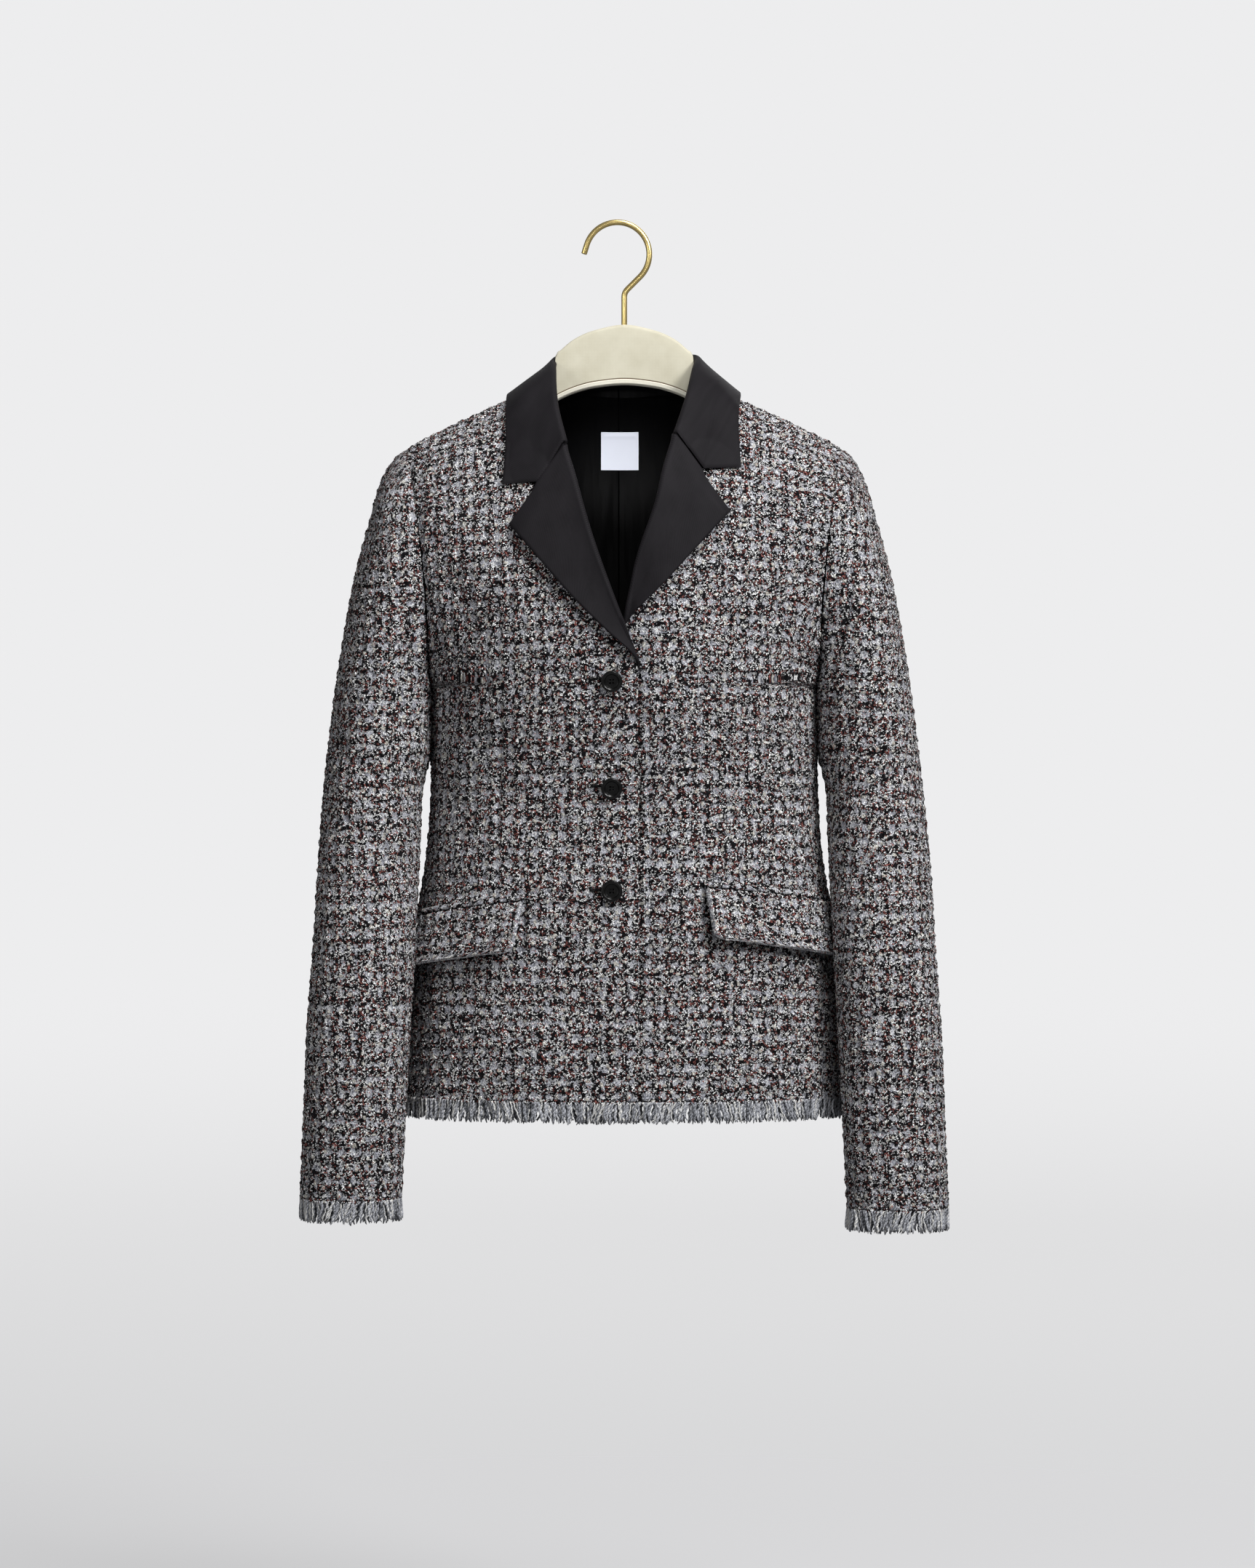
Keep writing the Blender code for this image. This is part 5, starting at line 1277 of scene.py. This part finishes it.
# Black silk buttonhole twist: near black and nearly matt, its plies too fine to show as more than a
# slight roughness.
black_thread, tree, shader = new_material("black_silk_thread", Base_Color="#080809", Roughness=0.7,
                                          Specular_IOR_Level=0.15)
ply = ribs_of(tree, add(tree, "TexCoord").outputs["Object"], 0.35 * MM, "DIAGONAL")
bumped(tree, shader, ply, 0.4, 0.08 * MM)

BUTTON_X = 10 * MM
BUTTON_HEIGHTS = {"top": -0.3845, "middle": -0.4714, "bottom": -0.5556}
BUTTON_RADIUS, BUTTON_REST = 8.7 * MM, 1.6 * MM
BUTTON_FOOT = 1.6 * MM       # how much smaller its underside is
HOLE_SPREAD, HOLE_RADIUS = 1.75 * MM, 0.85 * MM
STRAND_RADIUS, STRAND_STEP, STRANDS = 0.16 * MM, 0.24 * MM, 3

# The button's face as it is turned, from its edge inwards.
TurnedStep = namedtuple("TurnedStep", "inwards upwards")
BUTTON_FACE = [
    TurnedStep(0.7 * MM, 0.75 * MM),     # rounded edge
    TurnedStep(1.2 * MM, 0.15 * MM),     # rim
    TurnedStep(0.8 * MM, -0.6 * MM),     # down into the dish
    TurnedStep(0.7 * MM, -1.0 * MM),
    TurnedStep(1.6 * MM, -0.2 * MM),
]


def select_faces(piece, test):
    """Selects the faces of the piece in edit mode whose middle passes a test, and no others."""
    cage = bmesh.from_edit_mesh(piece.data)
    for part in (*cage.verts, *cage.edges, *cage.faces):
        part.select = False
    for face in cage.faces:
        if test(face.calc_center_median(), face.normal):
            face.select_set(True)
    cage.select_flush_mode()
    bmesh.update_edit_mesh(piece.data)


bpy.ops.object.select_all(action="DESELECT")
bpy.ops.mesh.primitive_cylinder_add(vertices=64, radius=BUTTON_RADIUS - BUTTON_FOOT, depth=0.8 * MM,
                                    location=(0, 0, 0.4 * MM))
pattern = bpy.context.object
pattern.name = "button_pattern"
bpy.ops.object.mode_set(mode="EDIT")
select_faces(pattern, lambda middle, normal: normal.z > 0.5)
bpy.ops.mesh.extrude_region_move(TRANSFORM_OT_translate={"value": (0, 0, 0.9 * MM)})
bpy.ops.transform.resize(value=(BUTTON_RADIUS / (BUTTON_RADIUS - BUTTON_FOOT),) * 2 + (1,))
bpy.ops.mesh.extrude_region_move(TRANSFORM_OT_translate={"value": (0, 0, 1.1 * MM)})
for step in BUTTON_FACE:
    bpy.ops.mesh.inset(thickness=step.inwards, depth=step.upwards)
bpy.ops.object.mode_set(mode="OBJECT")
bpy.ops.object.transform_apply()
for k in range(4):
    angle = math.radians(45 + 90 * k)
    bpy.ops.mesh.primitive_cylinder_add(
        vertices=20, radius=HOLE_RADIUS, depth=12 * MM,
        location=(HOLE_SPREAD * math.cos(angle), HOLE_SPREAD * math.sin(angle), 1 * MM))
    drill = bpy.context.object
    alone(pattern)
    drilled = pattern.modifiers.new("hole", "BOOLEAN")
    drilled.operation, drilled.object = "DIFFERENCE", drill
    bpy.ops.object.modifier_apply(modifier=drilled.name)
    bpy.data.objects.remove(drill)
rounding = pattern.modifiers.new("turned edges", "BEVEL")
rounding.width, rounding.segments, rounding.angle_limit = 0.22 * MM, 2, math.radians(25)
bpy.ops.object.modifier_apply(modifier=rounding.name)
bpy.ops.object.shade_smooth_by_angle(angle=math.radians(40))
pattern.data.materials.append(resin)


def tube(path, radius, sides=8):
    """Points and faces of a closed tube along a path of points, with a radius at each."""
    path = np.asarray(path, float)
    radius = np.broadcast_to(radius, len(path))
    along = np.gradient(path, axis=0)
    along /= np.maximum(np.linalg.norm(along, axis=-1, keepdims=True), 1e-12)
    guide = np.array([0.31, 0.42, 0.85]) if abs(along[:, 2]).mean() < 0.8 else np.array([0.9, 0.43, 0.05])
    one = np.cross(along, guide)
    one /= np.linalg.norm(one, axis=-1, keepdims=True)
    two = np.cross(along, one)
    turn = np.linspace(0, 2 * math.pi, sides, endpoint=False)
    ring = one[:, None] * np.cos(turn)[None, :, None] + two[:, None] * np.sin(turn)[None, :, None]
    points = (path[:, None] + ring * radius[:, None, None]).reshape(-1, 3)
    faces = []
    for i in range(len(path) - 1):
        for k in range(sides):
            a, b = i * sides + k, i * sides + (k + 1) % sides
            faces.append((a, b, b + sides, a + sides))
    last = (len(path) - 1) * sides
    faces.append(tuple(range(sides - 1, -1, -1)))
    faces.append(tuple(range(last, last + sides)))
    return points, faces


def joined(parts):
    """The points and faces of many small parts as one."""
    points, faces, start = [], [], 0
    for part_points, part_faces in parts:
        points.append(part_points)
        faces += [tuple(i + start for i in face) for face in part_faces]
        start += len(part_points)
    return np.concatenate(points), faces


for name, height in BUTTON_HEIGHTS.items():
    foot, head = (Vector(shell_at(RIGHT, FRONT, BUTTON_X, height, out)) for out in (BUTTON_REST, 10 * MM))
    lean = (head - foot).to_track_quat("Z", "Y")
    button = pattern.copy()
    button.data = pattern.data.copy()
    button.name = name + "_button_turned"
    bpy.context.scene.collection.objects.link(button)
    button.rotation_mode = "QUATERNION"
    button.rotation_quaternion = lean
    button.location = foot
    alone(button)
    bpy.ops.object.transform_apply()
    fix(button, "button", name + "_button")

    # two bars of three strands, each from one hole over to the next and down into it
    bars = []
    for bar in (-1, 1):
        for strand in range(STRANDS):
            off = bar * HOLE_SPREAD / math.sqrt(2) + (strand - 1) * STRAND_STEP
            reach = HOLE_SPREAD / math.sqrt(2) + 0.25 * MM
            arc = [(off, reach * math.cos(turn), 0.7 * MM + 0.5 * MM * math.sin(turn))
                   for turn in np.linspace(-0.6, math.pi + 0.6, 11)]
            bars.append(tube(arc, STRAND_RADIUS, 6))
    thread_points, thread_faces = joined(bars)
    placed = [foot + lean @ Vector(p) for p in thread_points]
    sewn = new_piece(name + "_button_thread", placed, thread_faces, [black_thread])
    fix(sewn, "button")

bpy.data.objects.remove(pattern)

# Buttonholes: a keyhole end towards the side and close buttonhole stitches along both lips.
ButtonholePlace = namedtuple("ButtonholePlace", "start end height")
BUTTONHOLES = {
    "top": ButtonholePlace(0.0276, 0.0120, -0.3825),
    "middle": ButtonholePlace(0.0256, 0.0120, -0.4694),
    "bottom": ButtonholePlace(0.0268, 0.0120, -0.5545),
}
STITCH_PITCH, STITCH_RADIUS, LIP = 0.62 * MM, 0.30 * MM, 1.0 * MM
EYE_STITCHES = 9             # round the keyhole's eye


def stitch(x, z, first, last):
    """One buttonhole stitch over the front's cloth, rising from its first share of an arch to its last."""
    out = 0.15 * MM + 0.95 * MM * np.sin(math.pi * np.linspace(first, last, len(z)))
    return tube(shell_at(RIGHT, FRONT, x, z, out), STITCH_RADIUS, 6)


for name, hole in BUTTONHOLES.items():
    stitches = []
    count = round((hole.start - hole.end) / STITCH_PITCH)
    for k in range(count):
        x = hole.start - STITCH_PITCH * k
        for lip in (-1, 1):
            spread = LIP * (1.35 if k < 4 else 1.0) + 0.25 * MM * float(chance(k, lip, 4))
            z = hole.height + lip * spread * np.linspace(0, 1, 5)
            stitches.append(stitch(x, z, 0.15, 0.95))
    for k in range(EYE_STITCHES):
        angle = math.radians(90 + 180 * k / (EYE_STITCHES - 1))
        reach = LIP * np.linspace(0.2, 1.35, 4)
        x, z = hole.start - reach * math.cos(angle), hole.height + reach * math.sin(angle)
        stitches.append(stitch(x, z, 0.15, 0.95))
    hole_points, hole_faces = joined(stitches)
    worked = new_piece(name + "_buttonhole", hole_points, hole_faces, [black_thread])
    fix(worked, "tweed")


# ------------------------------------------------------------------------------------- the fringes
# The hem and the cuffs are cut raw and frayed for 17 mm: the cloth's own warp yarns, two-ply and
# loosely twisted, some of them thick cream slubs, left hanging from a row of black stitches.

# Loose wool yarn: soft, hairy and matt, its two plies twisted round each other, the twist painted into the
# colour as painted highlight on each ply and painted shade between them. Each yarn's tone is kept in its
# "tone" attribute, and its UV map runs once round it and, in metres, along it.
loose_yarn, tree, shader = new_material("loose_wool_yarn", Roughness=0.95, Sheen_Weight=0.1,
                                        Sheen_Roughness=0.5, Specular_IOR_Level=0.1)
TWIST_PITCH = 6 * MM
tone = add(tree, "Attribute", attribute_name="tone").outputs["Fac"]
place = add(tree, "TexCoord").outputs["Object"]
fluff = add(tree, "TexNoise", {"Vector": place, "Scale": 1 / (1.1 * MM), "Detail": 3.0})
yarn_place = add(tree, "SeparateXYZ", {0: add(tree, "UVMap", uv_map="yarn").outputs["UV"]})
turns = maths(tree, "MULTIPLY", yarn_place.outputs[1], 2 * math.pi / TWIST_PITCH)
turns = maths(tree, "MULTIPLY_ADD", yarn_place.outputs[0], 2 * math.pi, turns)
turns = maths(tree, "MULTIPLY_ADD", fluff.outputs["Fac"], 4.0, turns)
ply = maths(tree, "ABSOLUTE", maths(tree, "SINE", turns))
lightness = maths(tree, "MULTIPLY_ADD", fluff.outputs["Fac"], 0.7, tone)
# painted light: the yarn lightens on each ply's crown and darkens between the plies
lightness = maths(tree, "MULTIPLY_ADD", ply, 0.26, lightness)
yarns = colours(tree, lightness, (0.0, "#1c1d1f"), (0.35, "#3f4145"), (0.6, "#8c8e95"), (0.85, "#c1c3ca"),
                (1.0, "#e6e4de"))
tree.links.new(yarns, shader.inputs["Base Color"])
bumped(tree, shader, maths(tree, "MULTIPLY_ADD", fluff.outputs["Fac"], 0.6, ply), 0.9, 0.7 * MM)

YARN_STEP = 0.9 * MM         # from one hanging yarn to the next along an edge
YARN_LAYERS, LAYER_STEP = 3, 1.3 * MM
YARN_SIDES, YARN_RINGS = 6, 8
THIN_SHARE, THIN_RADIUS = 0.25, 0.65 * MM      # of the yarns in the outer layer
THICK_RADIUS, THICKER_BY = 0.9 * MM, 0.5 * MM
CURL, CURL_PITCH = 0.55 * MM, 6 * MM
END_RAG, RAG_BEFORE_END = 1.8 * MM, 0.6 * MM
THIN_TONE, BACK_TONE, MIDDLE_TONE, TONE_SPREAD = 0.42, -0.14, 0.18, 0.15
LEAN_WAVES = ((0.16, 11 * MM), (0.14, 27 * MM))      # how far the yarns lean in turn, and how often


def hanging_yarn(top, outwards, sideways, length, layer, lean, draw):
    """One frayed yarn, leaning and bending as it hangs, with a ragged end."""
    steps = np.linspace(0, 1, YARN_RINGS)
    if layer < YARN_LAYERS - 1:
        lean = lean + draw.normal(0, 0.17)
    bend = draw.normal(0, 0.09)
    curl = CURL * np.sin(2 * math.pi * (steps * length / CURL_PITCH + draw.random())) * blend(0, 0.3, steps)
    path = top - np.outer(length * steps, (0.0, 0.0, 1.0))
    path = path + sideways * ((lean * steps + bend * np.sin(math.pi * steps)) * length + curl)[:, None]
    path = path + outwards * (draw.normal(0.03, 0.07) * steps * length)[:, None]
    thin = layer == 0 and draw.random() < THIN_SHARE
    radius = THIN_RADIUS if thin else THICK_RADIUS + THICKER_BY * draw.random()
    knobs = 1 + (0.22 if thin else 0.10) * np.sin(13 * steps + 6 * draw.random())
    radius = radius * knobs * np.sqrt(1 - 0.8 * steps ** 7)
    round_it = np.linspace(0, 2 * math.pi, YARN_SIDES, endpoint=False)
    ring = sideways * np.cos(round_it)[:, None] + outwards * np.sin(round_it)[:, None]
    points = path[:, None] + ring[None] * radius[:, None, None]
    points[-1, :, 2] -= draw.random(YARN_SIDES) * END_RAG
    points[-2, :, 2] -= draw.random(YARN_SIDES) * RAG_BEFORE_END
    points = points.reshape(-1, 3)
    faces, uv = [], []
    shift = draw.random()
    for i in range(YARN_RINGS - 1):
        for k in range(YARN_SIDES):
            a, b = i * YARN_SIDES + k, i * YARN_SIDES + (k + 1) % YARN_SIDES
            faces.append((a, a + YARN_SIDES, b + YARN_SIDES, b))
            near, far = steps[i] * length, steps[i + 1] * length
            left, right = shift + k / YARN_SIDES, shift + (k + 1) / YARN_SIDES
            uv += [(left, near), (left, far), (right, far), (right, near)]
    for ring_start, turned in ((0, False), (len(points) - YARN_SIDES, True)):
        cap = list(range(ring_start, ring_start + YARN_SIDES))
        faces.append(tuple(reversed(cap)) if turned else tuple(cap))
        uv += [(shift, 0.0)] * YARN_SIDES
    if layer == YARN_LAYERS - 1:
        tone = BACK_TONE
    elif thin:
        tone = THIN_TONE
    else:
        tone = float(np.clip(draw.normal(MIDDLE_TONE, TONE_SPREAD), -0.10, THIN_TONE))
    return points, faces, uv, tone


def fringe(name, edge, normals, length, seed, solid):
    """A row of hanging yarns under an edge, in three staggered layers, as one piece."""
    draw = np.random.default_rng(seed)
    walked = run_along(np.linalg.norm(np.diff(edge, axis=0), axis=-1))
    outwards = unit(normals * (1, 1, 0))
    parts, tones, places = [], [], []
    waves = draw.random(3) * 6
    for place in np.arange(YARN_STEP / 2, walked[-1], YARN_STEP):
        at = place + draw.normal(0, 0.2 * MM)
        layer = len(parts) % YARN_LAYERS
        lean = sum(far * math.sin(at / pitch + wave) for (far, pitch), wave in zip(LEAN_WAVES, waves))
        here = np.array([np.interp(at, walked, edge[:, k]) for k in range(3)])
        out = np.array([np.interp(at, walked, outwards[:, k]) for k in range(3)])
        sideways = np.cross(out, (0, 0, 1))
        sunk = 0.3 * MM + LAYER_STEP * layer + 0.4 * MM * draw.random()
        top = here - out * sunk + np.array([0, 0, 1.6 * MM])
        long = length * (0.80 + 0.17 * draw.random())
        points, faces, uv, tone = hanging_yarn(top, out, sideways, long, layer, lean, draw)
        parts.append((points, faces))
        tones += [tone] * len(points)
        places += uv
    points, faces = joined(parts)
    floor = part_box(solid)[0].z
    points[:, 2] = np.maximum(points[:, 2], floor - 1.5 * MM)
    piece = new_piece(name, points, faces, [loose_yarn])
    piece.data.attributes.new("tone", "FLOAT", "POINT").data.foreach_set("value", tones)
    piece.data.uv_layers.new(name="yarn").data.foreach_set("uv", np.array(places, np.float32).ravel())
    fix(piece, "tweed", solid)


HEM_FRAY, CUFF_FRAY = 17.5 * MM, 18.5 * MM
for side in (RIGHT, LEFT):
    name = SIDE_NAME[side]
    points, normals = panel_grids[side, FRONT]
    fringe(f"{name}_front_fray", points[0], normals[0], HEM_FRAY, 11 + side, f"{name}_front_fringe")
    upper, under = sleeve_grids[side, "upper_sleeve"], sleeve_grids[side, "under_sleeve"]
    edge, normals = (np.concatenate([upper[k][0], under[k][0][1:]]) for k in (0, 1))
    fringe(f"{name}_cuff_fray", edge, normals, CUFF_FRAY, 31 + side, f"{name}_cuff_fringe")
right_back, left_back = panel_grids[RIGHT, BACK], panel_grids[LEFT, BACK]
edge, normals = (np.concatenate([right_back[k][0][::-1], left_back[k][0][1:]]) for k in (0, 1))
fringe("back_fray", edge, normals, HEM_FRAY, 51, "back_fringe")


# --------------------------------------------------------------------------- the studio and camera
# A pale plain floor that fades into a pale room. A soft main light at the front on the right, one
# high above, a weak one on the left and one behind; two small beams into the neck and on the label.

FLOOR_Z = -1.25
bpy.ops.mesh.primitive_circle_add(vertices=96, radius=20.0, fill_type="NGON", location=(0, 0, FLOOR_Z))
floor = bpy.context.object
floor.name = "floor"
pale, tree, shader = new_material("pale_matt_paint", Base_Color="#bebec0", Roughness=0.9)
place = add(tree, "TexCoord").outputs["Object"]
far = add(tree, "VectorMath", {0: place}, operation="LENGTH").outputs["Value"]
near = maths(tree, "DIVIDE", 1.0, maths(tree, "ADD", far, 3.5))
fade = ranged(tree, near, 0.06, 0.26, 0.0, 0.46, interpolation_type="SMOOTHSTEP")
tree.links.new(fade, shader.inputs["Alpha"])
floor.data.materials.append(pale)

room = bpy.data.worlds.new("pale_room")
room.use_nodes = True
bpy.context.scene.world = room
tree = room.node_tree
backdrop = tree.nodes["Background"]
backdrop.inputs["Color"].default_value = linear("#ededee")
backdrop.inputs["Strength"].default_value = 1.0
glow = add(tree, "Background", {"Color": (1, 1, 1, 1), "Strength": 0.055})    # as matt things see the room
walls = add(tree, "Background", {"Color": (1, 1, 1, 1), "Strength": 0.2})     # as polished things see it
light_path = add(tree, "LightPath").outputs
unseen = add(tree, "MixShader", {0: light_path["Is Glossy Ray"], 1: glow.outputs[0], 2: walls.outputs[0]})
either = add(tree, "MixShader",
             {0: light_path["Is Camera Ray"], 1: unseen.outputs[0], 2: backdrop.outputs[0]})
tree.links.new(either.outputs[0], tree.nodes["World Output"].inputs["Surface"])


def stand_light(name, kind, place, towards, power, **settings):
    """A light of a kind at a place, turned towards another, with its power in watts."""
    light = bpy.data.lights.new(name, kind)
    light.energy = power
    for setting, value in settings.items():
        setattr(light, setting, value)
    lamp = bpy.data.objects.new(name, light)
    lamp.location = place
    lamp.rotation_euler = (Vector(towards) - Vector(place)).to_track_quat("-Z", "Y").to_euler()
    bpy.context.scene.collection.objects.link(lamp)


JACKET_MIDDLE = (0, 0, -0.45)
stand_light("main light", "AREA", (2.05, -2.4, 1.5), JACKET_MIDDLE, 119, shape="SQUARE", size=1.1)
stand_light("high light", "AREA", (0.7, -1.3, 2.3), JACKET_MIDDLE, 58, shape="SQUARE", size=1.0)
stand_light("side light", "AREA", (-2.3, -2.3, 0.3), JACKET_MIDDLE, 22, shape="SQUARE", size=1.2)
stand_light("back light", "AREA", (0.6, 3.0, 1.0), JACKET_MIDDLE, 30, shape="SQUARE", size=2.0)
stand_light("neck light", "SPOT", (0.05, -3.4, -0.05), (0, 0.05, -0.16), 80,
            spot_size=math.radians(5.5), spot_blend=0.9, shadow_soft_size=0.12)
stand_light("label light", "SPOT", (0.02, -3.4, -0.10), (-0.004, 0.07, -0.188), 340,
            spot_size=math.radians(1.9), spot_blend=0.9, shadow_soft_size=0.02)

# The camera stands 3.5 m in front, level with the jacket's middle.
lens = bpy.data.cameras.new("camera")
lens.sensor_width = 36.0
lens.lens = 95.8
camera = bpy.data.objects.new("camera", lens)
camera.location = (0.0027, -3.5, -0.468)
camera.rotation_euler = (math.radians(90), 0, 0)
bpy.context.scene.collection.objects.link(camera)
bpy.context.scene.camera = camera
